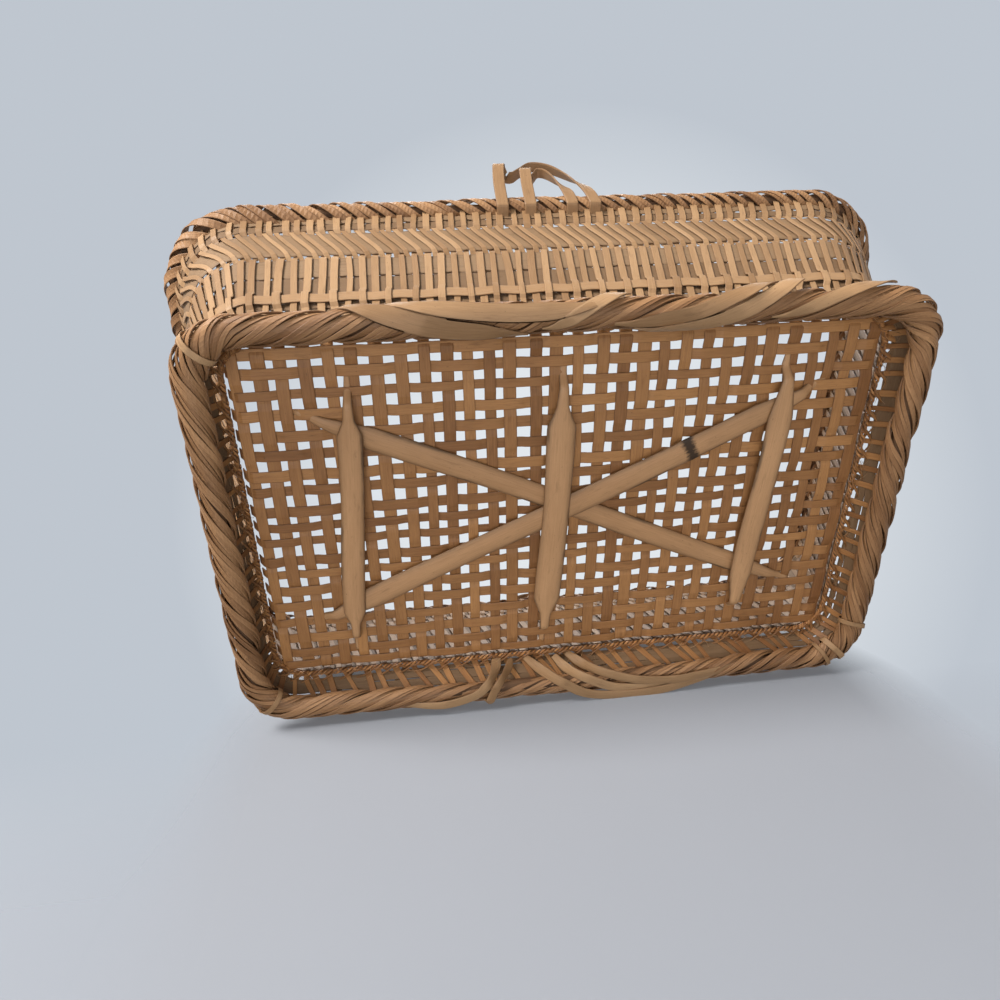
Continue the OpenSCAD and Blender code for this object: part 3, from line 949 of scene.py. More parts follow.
@dataclass
class Plait:
    """A plaited ring: narrow strips wind round a core in strands that bulge and lap.

    Attributes:
        name: the object's name.
        node: the CAD node that it stands for.
        spread: the ring's distance outside the edge of the base.
        height: the ring's height.
        core_r: the plait's radius.
        strands: strands round the ring.
        per_strand: narrow strips side by side in a strand.
        advance: stations that a strip moves back in its turn, minus for the other hand.
        half_width: half width of a strip.
        bulge: how much lower the edge of a strand lies, as a share of the radius.
        ragged: how much the strips' radii differ, as a share of the radius.
        flat: height of the ring's section as a share of its width.
        puff: how much the strands' radii differ, as a share of the radius.
        start: angle round the core at which a strip starts, in degrees from outward.
        swell_at: station about which the plait is thicker or thinner.
        swell_half: half the stretch of stations over which it is.
        swell: by how much, as a share of the radius.
        gather: how close the strips of a strand come together at its ends, as a share of their spacing.
        turn: angle through which it winds.
        half_thick: half thickness of a strip.
        loose: spread of the strands' angles in radians.
        stray: spread of the strips' places in strip widths.
        stretch: spread of the strands' advance as a share of it.
        unruly: spread of the strips' angles in radians.
        fill: radius of an even strip as a share of the plait's.
        dip: how far a strip's ends sink, as a share of its radius.
        dip_rise: gain and start of the sinking, from the middle of the strip.
        play: least and most width of a strip.
        tip: width of a strip's ends as a share of its own.
        tip_gain: how fast the ends widen.
        strand_tone: share of the strand's tone in that of a strip.
        strip_tone: share of the strip's own.
        steps: points along a strip.
    """

    line: Outline
    rng: np.random.Generator
    name: str
    node: str
    spread: float
    height: float
    core_r: float
    strands: int
    per_strand: int
    advance: float
    half_width: float
    bulge: float
    ragged: float
    flat: float
    puff: float
    start: float
    swell_at: float
    swell_half: float
    swell: float
    gather: float = 0.4
    turn: float = 330.0
    half_thick: float = 0.38 * MM
    loose: float = 0.12
    stray: float = 0.15
    stretch: float = 0.08
    unruly: float = 0.03
    fill: float = 0.96
    dip: float = 0.3
    dip_rise: Pair = (6.0, 2.0)
    play: Pair = (0.8, 1.12)
    tip: float = 0.6
    tip_gain: float = 8.0
    strand_tone: float = 0.55
    strip_tone: float = 0.45
    steps: int = 28

    def build(self, finish: bpy.types.Material) -> None:
        """Winds the strips: each climbs round the core while its station moves on.

        Point = ring centre + radius * (cos a * outward + flat * sin a * up), with the angle a running from
        start through turn while the station moves by advance. Both ends dip towards the core, and the strips
        of a strand draw together there by the sine of their share. A swelling adds the bell
        exp(-(distance / half stretch)^4) to the radius and moves the centre inwards by as much.

        Args:
            finish: the material.
        """
        share = np.linspace(0.0, 1.0, self.steps)[None, :]
        count = self.strands * self.per_strand
        pitch = self.line.stations / count
        number = np.arange(count)[:, None]
        strand = number // self.per_strand
        owner = strand[:, 0]
        one_each = (count, 1)
        one_a_strand = (self.strands, 1)
        half = max((self.per_strand - 1) / 2, 0.5)
        lane = (number % self.per_strand - (self.per_strand - 1) / 2) / half
        loose = self.rng.normal(0.0, self.loose, one_a_strand)[owner]
        gathered = self.gather + (1.0 - self.gather) * np.sin(np.pi * share)
        middle = (strand + 0.5) * self.per_strand
        first = (middle + (number + 0.5 - middle) * gathered) * pitch
        first = first + self.rng.normal(0.0, self.stray, one_each) * pitch
        stretch = 1.0 + self.rng.normal(0.0, self.stretch, one_a_strand)[owner]
        station = first - self.advance * stretch * (share - 0.5)
        angle = np.radians(self.start + self.turn * share) + loose
        angle = angle + self.rng.normal(0.0, self.unruly, one_each)
        puffed = self.puff * self.rng.uniform(-1.0, 1.0, one_a_strand)[owner]
        uneven = self.ragged * self.rng.uniform(-1.0, 1.0, one_each)
        radius = self.fill - self.bulge * lane**2 + uneven + puffed
        half_round = self.line.stations / 2
        distance = np.mod(station - self.swell_at + half_round, self.line.stations) - half_round
        swollen = self.swell * np.exp(-((distance / self.swell_half) ** 4))
        gain, begin = self.dip_rise
        sunk = 1.0 - self.dip * ease(np.abs(share - 0.5) * gain - begin)
        radius = self.core_r * radius * (1.0 + swollen) * sunk
        spread = self.spread - self.core_r * swollen + radius * np.cos(angle)
        path = self.line.ring(station, spread, self.height + self.flat * radius * np.sin(angle))
        facing = self.line.outward(station, angle)
        width = self.half_width * self.rng.uniform(*self.play, one_each)
        width = width * widen(share, self.tip, self.tip_gain) * widen(1.0 - share, self.tip, self.tip_gain)
        width = width * (1.0 + swollen)
        tone = self.strand_tone * self.rng.uniform(0.0, 1.0, self.strands)[owner]
        tone = tone + self.strip_tone * self.rng.uniform(0.0, 1.0, count)
        strips = StripSet(path, facing, width, self.half_thick, tone=tone, ground=GROUND)
        dress(strips.mesh(self.name, self.rng), finish, [self.node])


@dataclass
class PlaitCore:
    """The bundle of strip ends inside a plait, with painted shade: its dark colour stands for the shade seen
    between the wound strips.

    Attributes:
        share: radius as a share of the plait's.
        flat: its height as a share of its width.
        steps: points round the ring.
    """

    line: Outline
    rng: np.random.Generator
    share: float = 0.62
    flat: float = 0.7
    steps: int = 400

    def build(self, name: str, plait: Plait, finish: bpy.types.Material) -> None:
        """Carries a round section along the middle of a plait.

        Args:
            name: the object's name.
            plait: the plait that it fills.
            finish: the material.
        """
        station = np.linspace(0.0, self.line.stations, self.steps, endpoint=False)[None, :]
        spread = np.full(station.shape, plait.spread)
        path = self.line.ring(station, spread, np.full(station.shape, plait.height))
        facing = self.line.outward(station, np.zeros(station.shape))
        radius = np.full((1, 1), plait.core_r * self.share)
        core = StripSet(path, facing, radius * self.flat, radius, closed=True, section=STRAND_SECTION)
        dress(core.mesh(name, self.rng), finish, [plait.node], True)


@dataclass
class BaseMat:
    """The openly woven base: strips across and along, over two and under two.

    Attributes:
        across: strips across the base.
        along: strips along the base.
        along_half: half width of the strips along.
        across_half: half width of the strips across.
        half_thick: half thickness of a strip.
        rise: how far a strip rises and sinks at a crossing.
        wander: how far a strip wanders sideways.
        wander_waves: radians of that wandering on half a strip.
        wander_phases: range of its random start in radians.
        end_turn: length of the end that turns up.
        edge_gap: how far the strips stop short of the edge.
        crossing_steps: points for each crossing.
        stray: spread of the strips' places in pitches.
        change: share of the way between two crossings on which the height changes.
        repeat: crossings after which the weave repeats.
        over: crossings of those that a strip passes over.
        play: least and most width of a strip.
    """

    line: Outline
    rng: np.random.Generator
    across: int = 30
    along: int = 19
    along_half: float = 2.8 * MM
    across_half: float = 3.15 * MM
    half_thick: float = 0.36 * MM
    rise: float = 0.46 * MM
    wander: float = 0.5 * MM
    wander_waves: float = 2.1
    wander_phases: float = 6.28
    end_turn: float = 6.0 * MM
    edge_gap: float = 0.8 * MM
    crossing_steps: int = 6
    stray: float = 0.055
    change: float = 0.42
    repeat: int = 4
    over: int = 2
    play: Pair = (0.84, 1.1)

    def _family(self, count: int, others: int, half_run: float, half_span: float, sign: float) -> Array:
        """Centre lines of one family, run along the first axis.

        The height is a smooth blend between plus and minus rise at each crossing, plus where strip and
        crossing numbers sum to 0 or 1 modulo 4; the strip wanders sideways a little and its ends turn up.

        Args:
            count: strips in the family.
            others: strips that cross it.
            half_run: half the strip's length.
            half_span: half the distance that the family covers.
            sign: plus one or minus one, opposite for the two families.

        Returns:
            Points as strips by steps by (run, side, height).
        """
        run = np.linspace(-half_run, half_run, others * self.crossing_steps)[None, :]
        pitch = 2 * half_span / count
        side = (np.arange(count) - (count - 1) / 2)[:, None] * pitch
        side = side + self.rng.normal(0.0, self.stray, (count, 1)) * pitch
        phase = self.rng.uniform(0.0, self.wander_phases, (count, 1))
        side = side + self.wander * np.sin(run / half_run * self.wander_waves + phase)
        place = (run / (2 * half_run) + 0.5) * others - 0.5
        lower = np.floor(place).astype(int)
        blend = ease((place - lower - 0.5) / self.change + 0.5)
        strip = np.arange(count)[:, None]
        before = np.where((strip + lower) % self.repeat < self.over, 1.0, -1.0)
        after = np.where((strip + lower + 1) % self.repeat < self.over, 1.0, -1.0)
        height = sign * self.rise * (before * (1 - blend) + after * blend)
        past = np.clip((np.abs(run) - half_run + self.end_turn) / self.end_turn, 0.0, 1.0)
        height = height + past * past * self.end_turn
        return np.stack(np.broadcast_arrays(run, side, height), -1)

    def build(self, finish: bpy.types.Material) -> None:
        """Makes both families and dresses each as a piece.

        Args:
            finish: the material.
        """
        half_x, half_y = self.line.half - self.edge_gap
        lay = self._family(self.along, self.across, half_x, half_y, 1.0)
        cross = self._family(self.across, self.along, half_y, half_x, -1.0)[..., [1, 0, 2]]
        lift = np.array([0.0, 0.0, self.line.base_z])
        families = {
            "mat_along": (lay + lift, self.along_half),
            "mat_across": (cross + lift, self.across_half),
        }
        for name, (path, half) in families.items():
            facing = np.broadcast_to(UPWARD, path.shape)
            width = half * self.rng.uniform(*self.play, (len(path), 1))
            strips = StripSet(path, facing, width, self.half_thick)
            dress(strips.mesh(name, self.rng), finish, ["base_mat"])


# Hoops of the skirt: share of the way down, waves round the basket and half width in millimetres.
SKIRT_HOOPS = np.array([(0.3, 5.0, 1.6), (0.47, 9.0, 1.7), (0.64, 13.0, 1.8), (0.82, 7.0, 1.7)])


@dataclass
class Skirt:
    """Twined edge of the base, the strips that splay from it to the foot and the hoops between them.

    Attributes:
        bars: strips that lean one way.
        crossed: strips that cross them outside.
        bar_lean: stations that a bar moves on its way down.
        crossed_lean: stations that a crossed strip moves.
        half_width: half width of a leaning strip.
        half_thick: half thickness of a flat strip.
        layer: distance of the leaning strips from the hoops.
        top: the skirt's upper edge, outside and above the edge of the base.
        bottom: the skirt's lower edge: radii of the foot above its middle, and distance inside it.
        bow: powers of the share in spread and height, which bow the skirt.
        offset_shares: shares of an offset that go outward and up.
        tilt: how far the strips look up from outward in radians.
        bar_steps: points along a leaning strip.
        bar_stray: spread of their places in pitches.
        side_lean: least share of the lean, on the short sides, and what the long sides add.
        lean_play: least and most share of the lean.
        width_play: least and most share of the width.
        hoop_steps: points round a hoop.
        hoop_swing: how far a hoop waves, as a share of the way down.
        twine_strands: strands of the fine twined row.
        twine_turns: its turns round the basket.
        twine_reach: half axes of its ellipse, outward and up.
        twine_half: half width of its strands.
        twine_flat: their thickness as a share of their width.
        twine_drop: how far it lies below the middle of the base.
        twine_play: how much its size varies.
        twine_beat: waves of that variation round the basket.
        twine_steps: points for each turn.
        eye_turns: turns of the open row.
        eye_middle: its middle outside the edge of the base.
        eye_swing: how far its strands swing in and out.
        eye_play: how much the swing varies.
        eye_beat: waves of that variation round the basket.
        eye_drop: how far it lies below the middle of the base.
        eye_lift: how far its strands rise and sink.
        eye_half: half width of its strands.
        eye_tilt: how far they look up from outward in radians.
        eye_steps: points for each turn.
        fibres: loose fibres on the edge.
        fibre_half: half width of a fibre.
        fibre_steps: points along a fibre.
        fibre_drift: spread of a fibre's run in stations.
        fibre_curl: spread of its curl in stations.
        fibre_stand: mean and spread of its start outside the edge, in millimetres.
        fibre_reach: least and most way that it reaches outward, in millimetres.
        fibre_drop: least and most height that it starts below the base, in millimetres.
        fibre_dip: least and most height of its arc, in millimetres.
        fibre_bend: least and most angle of its arc in radians.
        fibre_tilt: how far it looks up from outward in radians.
        fibre_taper: share of its width that it loses to its end.
    """

    line: Outline
    rng: np.random.Generator
    bars: int = 124
    crossed: int = 30
    bar_lean: float = -1.5
    crossed_lean: float = 1.6
    half_width: float = 1.6 * MM
    half_thick: float = 0.36 * MM
    layer: float = 0.85 * MM
    top: Pair = (1.2 * MM, 1.5 * MM)
    bottom: Pair = (0.4, 0.5 * MM)
    bow: Pair = (0.85, 1.2)
    offset_shares: Pair = (0.9, 0.4)
    tilt: float = 0.45
    bar_steps: int = 14
    bar_stray: float = 0.14
    side_lean: Pair = (0.25, 0.75)
    lean_play: Pair = (0.6, 1.4)
    width_play: Pair = (0.75, 1.2)
    hoop_steps: int = 500
    hoop_swing: float = 0.04
    twine_strands: int = 3
    twine_turns: int = 132
    twine_reach: Pair = (1.2 * MM, 1.2 * MM)
    twine_half: float = 0.75 * MM
    twine_flat: float = 0.4
    twine_drop: float = 0.4 * MM
    twine_play: float = 0.18
    twine_beat: int = 31
    twine_steps: int = 18
    eye_turns: int = 50
    eye_middle: float = 2.2 * MM
    eye_swing: float = 3.0 * MM
    eye_play: float = 0.15
    eye_beat: int = 37
    eye_drop: float = 1.6 * MM
    eye_lift: float = 0.9 * MM
    eye_half: float = 1.3 * MM
    eye_tilt: float = -0.6
    eye_steps: int = 28
    fibres: int = 260
    fibre_half: float = 0.16 * MM
    fibre_steps: int = 9
    fibre_drift: float = 1.1
    fibre_curl: float = 0.5
    fibre_stand: Pair = (1.5, 1.5)
    fibre_reach: Pair = (-1.0, 6.0)
    fibre_drop: Pair = (0.5, 2.5)
    fibre_dip: Pair = (0.5, 4.5)
    fibre_bend: Pair = (1.5, 3.2)
    fibre_tilt: float = -1.2
    fibre_taper: float = 0.6

    def slope(self, share: Array, offset: float) -> tuple[Array, Array]:
        """Spread and height on the way from the edge of the base at 0 to the foot at 1.

        Both run from the upper to the lower edge by a power of the share, and the offset adds to each.

        Args:
            share: share of the way down.
            offset: distance outward from the middle of the skirt.

        Returns:
            Spread outside the edge of the base and height.
        """
        start = self.top[0]
        high = self.line.base_z + self.top[1]
        low = self.line.foot_z + self.bottom[0] * self.line.foot_r
        end = self.line.foot_spread - self.bottom[1]
        spread = start + (end - start) * share ** self.bow[0] + self.offset_shares[0] * offset
        return spread, high + (low - high) * share ** self.bow[1] + self.offset_shares[1] * offset

    def splay(self, name: str, count: int, lean: float, offset: float) -> bpy.types.Object:
        """Leaning strips from the edge of the base down and out to the foot.

        Args:
            name: the object's name.
            count: number of strips.
            lean: stations that a strip moves on its way down.
            offset: distance outward from the middle of the skirt.

        Returns:
            The object.
        """
        share = np.linspace(0.0, 1.0, self.bar_steps)[None, :]
        pitch = self.line.stations / count
        start = (np.arange(count)[:, None] + self.rng.normal(0.0, self.bar_stray, (count, 1))) * pitch
        _, out = self.line.at(start)
        lean = lean * (self.side_lean[0] + self.side_lean[1] * np.abs(out[..., 1]))
        station = start + lean * self.rng.uniform(*self.lean_play, (count, 1)) * share
        spread, height = self.slope(share, offset)
        path = self.line.ring(station, np.broadcast_to(spread, station.shape), height)
        facing = self.line.outward(station, np.full(station.shape, self.tilt))
        width = self.half_width * self.rng.uniform(*self.width_play, (count, 1))
        return StripSet(path, facing, width, self.half_thick).mesh(name, self.rng)

    def hoops(self) -> bpy.types.Object:
        """Thin strips that run round the skirt between its two families and wave up and down a little.

        Returns:
            The object.
        """
        places, waves, halves = SKIRT_HOOPS.T[..., None]
        station = np.linspace(0.0, self.line.stations, self.hoop_steps, endpoint=False)
        station = np.broadcast_to(station, (len(places), self.hoop_steps))
        wave = self.hoop_swing * np.sin(station * FULL_TURN * waves / self.line.stations)
        spread, height = self.slope(places + wave, 0.0)
        path = self.line.ring(station, spread, height)
        facing = self.line.outward(station, np.full(station.shape, self.tilt))
        hoops = StripSet(path, facing, halves * MM, self.half_thick, closed=True)
        return hoops.mesh("skirt_hoops", self.rng)

    def twine(self) -> bpy.types.Object:
        """Strands twisted round the edge of the base: each winds on a small ellipse whose size varies.

        Returns:
            The object.
        """
        strands, turns = self.twine_strands, self.twine_turns
        station = np.linspace(0.0, self.line.stations, turns * self.twine_steps, endpoint=False)[None, :]
        phase = (np.arange(strands) * FULL_TURN / strands)[:, None]
        angle = FULL_TURN * turns * station / self.line.stations + phase
        beat = FULL_TURN * self.twine_beat * station / self.line.stations + phase
        size = 1.0 + self.twine_play * np.sin(beat)
        station = np.broadcast_to(station, angle.shape)
        out = self.twine_reach[0] * size * np.cos(angle)
        height = self.line.base_z - self.twine_drop + self.twine_reach[1] * size * np.sin(angle)
        path = self.line.ring(station, out, height)
        facing = self.line.outward(station, angle)
        width = np.full((strands, 1), self.twine_half)
        twine = StripSet(path, facing, width, width * self.twine_flat, closed=True, section=STRAND_SECTION)
        return twine.mesh("edge_twine", self.rng)

    def eyes(self) -> bpy.types.Object:
        """Two flat strands that cross between the ends of the mat's strips and open into an eye round each.

        Outward place = middle + swing * cos angle and height = base - drop + lift * sin angle, where the
        second strand is half a turn behind the first and one turn takes up about two strips of the mat.

        Returns:
            The object.
        """
        turns = self.eye_turns
        station = np.linspace(0.0, self.line.stations, turns * self.eye_steps, endpoint=False)[None, :]
        angle = FULL_TURN * turns * station / self.line.stations + np.array([[0.0], [np.pi]])
        station = np.broadcast_to(station, angle.shape)
        wave = 1.0 + self.eye_play * np.sin(FULL_TURN * self.eye_beat * station / self.line.stations)
        out = self.eye_middle + self.eye_swing * wave * np.cos(angle)
        height = self.line.base_z - self.eye_drop + self.eye_lift * np.sin(angle)
        path = self.line.ring(station, out, height)
        facing = self.line.outward(station, np.full(station.shape, self.eye_tilt))
        width = np.full((len(angle), 1), self.eye_half)
        return StripSet(path, facing, width, self.half_thick, closed=True).mesh("edge_eyes", self.rng)

    def fuzz(self) -> bpy.types.Object:
        """Fine fibres that stand off the twined edge: short arcs of random size, turn and curl.

        Returns:
            The object.
        """
        share = np.linspace(0.0, 1.0, self.fibre_steps)[None, :]
        one_each = (self.fibres, 1)
        start = self.rng.uniform(0.0, self.line.stations, one_each)
        station = start + self.rng.normal(0.0, self.fibre_drift, one_each) * share
        station = station + self.rng.normal(0.0, self.fibre_curl, one_each) * share**2
        spread = self.rng.normal(*self.fibre_stand, one_each) * MM
        spread = spread + self.rng.uniform(*self.fibre_reach, one_each) * MM * share
        height = self.line.base_z - self.rng.uniform(*self.fibre_drop, one_each) * MM
        dip = self.rng.uniform(*self.fibre_dip, one_each) * MM
        height = height - dip * np.sin(share * self.rng.uniform(*self.fibre_bend, one_each))
        path = self.line.ring(station, spread, height)
        facing = self.line.outward(station, np.full(station.shape, self.fibre_tilt))
        width = self.fibre_half * (1.0 - self.fibre_taper * share)
        fibres = StripSet(path, facing, width, width, section=STRAND_SECTION[::2])
        return fibres.mesh("edge_fibres", self.rng)

    def build(self, finishes: dict[str, bpy.types.Material]) -> None:
        """Makes and dresses the edge, the hoops and the two families of leaning strips.

        Args:
            finishes: slot name to material.
        """
        mid, warm_shaded = finishes["bamboo_mid"], finishes["bamboo_warm"]
        bars = self.splay("skirt_bars", self.bars, self.bar_lean, -self.layer)
        dress(bars, mid, ["skirt"])
        crossed = self.splay("skirt_crossed", self.crossed, self.crossed_lean, self.layer)
        dress(crossed, warm_shaded, ["skirt"])
        dress(self.hoops(), warm_shaded, ["skirt"])
        dress(self.eyes(), mid, ["skirt"], True)
        dress(self.twine(), mid, ["skirt"], True)
        dress(self.fuzz(), finishes["bamboo_light"], ["skirt"], True)


# Courses of the foot's wraps: station, angle round the plait in degrees and stand-off in radii.
WRAP_COURSES = np.array(
    [
        [(128.6, 18, 0.0), (131.5, -46, 0.0), (135.0, -98, 0.0), (138.6, -124, 0.0), (141.4, -140, 0.0)],
        [(131.2, 14, 0.0), (135.0, -36, 0.0), (139.4, -64, 0.0), (143.4, -66, 0.0), (146.4, -48, 0.0)],
        [(142.4, -126, 0.0), (144.2, -96, 0.0), (146.0, -50, 0.0), (147.4, -12, 0.0), (148.6, 14, 0.0)],
        [(147.5, -120, 0.0), (150.5, -108, 0.0), (153.6, -84, 0.0), (156.5, -30, 0.05), (158.8, 32, 0.3)],
        [(149.0, -152, 0.0), (152.0, -143, 0.0), (155.0, -118, 0.0), (158.0, -62, 0.05), (160.4, 14, 0.35)],
        [(159.0, -122, 0.0), (161.5, -90, 0.0), (164.0, -45, 0.0), (166.5, 5, 0.0), (168.2, 40, 0.15)],
    ]
)
# Half widths of the wraps in millimetres, and the shares of them at both ends.
WRAP_WIDTHS = np.array(
    [
        (4.9, 0.15, 0.12),
        (4.3, 0.2, 0.3),
        (3.2, 0.2, 0.2),
        (3.5, 0.3, 0.9),
        (3.9, 0.3, 0.9),
        (3.0, 0.2, 0.15),
    ]
)
# Courses of the foot's bulges, one line for each: stations, spreads and heights in millimetres.
BULGE_STATIONS = np.array(
    [
        (60.3, 59.0, 57.3, 54.9, 51.4, 47.7, 43.4),
        (57.6, 56.7, 55.2, 52.4, 48.8, 45.8, 42.0),
        (56.4, 55.4, 53.8, 50.5, 47.2, 45.0, 41.0),
        (71.6, 68.0, 65.2, 64.1, 63.5, 63.1, 63.0),
        (61.6, 62.0, 62.7, 63.2, 63.5, 63.7, 64.0),
    ]
)
BULGE_SPREADS = np.array(
    [
        (0.9, 2.2, 6.4, 16.6, 20.0, 18.6, 13.0),
        (0.9, 2.3, 4.6, 13.8, 16.4, 13.8, 11.2),
        (0.9, 2.0, 2.6, 9.4, 12.2, 10.8, 9.6),
        (12.6, 14.6, 10.2, 3.6, 1.5, 1.1, 0.8),
        (0.9, 1.4, 2.0, 5.1, 10.4, 14.8, 16.6),
    ]
)
BULGE_HEIGHTS = np.array(
    [
        (19.5, 8.0, 0.6, 0.5, 0.6, 0.6, 3.4),
        (18.0, 8.0, 1.0, 0.6, 1.5, 1.8, 3.6),
        (20.5, 12.0, 3.2, 0.5, 0.5, 0.5, 3.4),
        (3.4, 0.6, 0.5, 1.2, 7.0, 14.0, 20.0),
        (19.0, 12.0, 4.0, 0.6, 0.5, 0.6, 2.6),
    ]
)
# Half widths of the bulges in millimetres.
BULGE_HALVES = np.array([[3.2], [3.1], [3.0], [2.9], [2.5]])
# Ties round the foot: station, radius in radii of the plait and half width in millimetres.
FOOT_TIES = np.array(
    [
        (30.5, 1.1, 1.7),
        (32.2, 1.06, 1.2),
        (118.0, 1.05, 1.6),
        (26.0, 1.06, 1.4),
        (84.0, 1.05, 1.5),
    ]
)


@dataclass
class FootLaps:
    """Wider strips that finish the foot plait: they wrap over it, bulge from the base edge and end loose.

    Attributes:
        half_thick: half thickness of a wide strip.
        steps: points along it.
        clear: how far the wraps clear the plait.
        lap: how far the last wrap lies over the first.
        sink: how far a wrap starts inside the plait, as a share of its radius.
        sink_gain: how fast it comes out.
        wrap_gain: how fast a wrap's ends widen.
        bulge_tilt: degrees that a bulging strip looks up from outward at the ground, and what the base adds.
        bulge_tip: width of its start as a share.
        bulge_gain: how fast it widens.
        tie_steps: points round a tie.
        tie_slant: stations by which a tie slants.
        tie_flat: height of a tie as a share of its width.
        tie_thick: half thickness of a tie.
    """

    line: Outline
    rng: np.random.Generator
    half_thick: float = 0.42 * MM
    steps: int = 72
    clear: float = 0.9 * MM
    lap: float = 0.5 * MM
    sink: float = 0.16
    sink_gain: float = 7.0
    wrap_gain: float = 3.2
    bulge_tilt: Pair = (-88.0, -50.0)
    bulge_tip: float = 0.6
    bulge_gain: float = 5.0
    tie_steps: int = 48
    tie_slant: float = 0.35
    tie_flat: float = 0.7
    tie_thick: float = 0.3 * MM

    def wraps(self) -> bpy.types.Object:
        """Wide strips laid along the plait on the front side, turning from one face of it to another.

        Point = ring centre + radius * cos angle outward + half height * sin angle up, where station, angle
        and stand-off run smoothly through the places of each course.

        Returns:
            The object.
        """
        share = np.linspace(0.0, 1.0, self.steps)[None, :]
        station, angle, off = np.moveaxis(through_points(WRAP_COURSES, self.steps), -1, 0)
        angle = np.radians(angle)
        count = len(WRAP_WIDTHS)
        lift = self.lap * np.arange(count)[:, None] / count
        reach = 1.0 + off - self.sink * ease(1.0 - share * self.sink_gain)
        radius = (self.line.foot_r + self.clear + lift) * reach
        half_height = (self.line.foot_z - GROUND - self.half_thick) * reach
        spread = self.line.foot_spread + radius * np.cos(angle)
        path = self.line.ring(station, spread, self.line.foot_z + half_height * np.sin(angle))
        half, start, end = WRAP_WIDTHS.T[..., None]
        taper = widen(share, start, self.wrap_gain) * widen(1.0 - share, end, self.wrap_gain)
        facing = self.line.outward(station, angle)
        strips = StripSet(path, facing, half * MM * taper, self.half_thick, ground=GROUND)
        return strips.mesh("foot_wraps", self.rng)

    def bulges(self) -> bpy.types.Object:
        """Strips on the back side that leave the base edge, pass under the plait and bulge out beyond it.

        Returns:
            The object.
        """
        knots = np.stack([BULGE_STATIONS, BULGE_SPREADS * MM, BULGE_HEIGHTS * MM], -1)
        station, spread, height = np.moveaxis(through_points(knots, self.steps), -1, 0)
        path = self.line.ring(station, spread, height)
        low, more = self.bulge_tilt
        facing = self.line.outward(station, np.radians(low + more * ease(height / self.line.base_z)))
        share = np.linspace(0.0, 1.0, self.steps)[None, :]
        width = BULGE_HALVES * MM * widen(share, self.bulge_tip, self.bulge_gain)
        strips = StripSet(path, facing, width, self.half_thick, ground=GROUND)
        return strips.mesh("foot_bulges", self.rng)

    def ties(self) -> bpy.types.Object:
        """Narrow strips tied once round the plait near its corners.

        Returns:
            The object.
        """
        place, size, half = FOOT_TIES.T[..., None]
        angle = np.linspace(0.0, FULL_TURN, self.tie_steps, endpoint=False)
        angle = np.broadcast_to(angle, (len(place), self.tie_steps))
        radius = self.line.foot_r * size
        station = place + self.tie_slant * np.sin(angle)
        spread = self.line.foot_spread + radius * np.cos(angle)
        path = self.line.ring(station, spread, self.line.foot_z + self.tie_flat * radius * np.sin(angle))
        facing = self.line.outward(station, angle)
        ties = StripSet(path, facing, half * MM, self.tie_thick, closed=True, ground=GROUND)
        return ties.mesh("foot_loops", self.rng)

    def build(self, finishes: dict[str, bpy.types.Material]) -> None:
        """Makes and dresses the strips.

        Args:
            finishes: slot name to material.
        """
        light = finishes["bamboo_light"]
        dress(self.wraps(), light, ["foot_plait"], True)
        dress(self.bulges(), light, ["foot_plait"], True)
        dress(self.ties(), light, ["foot_plait"])


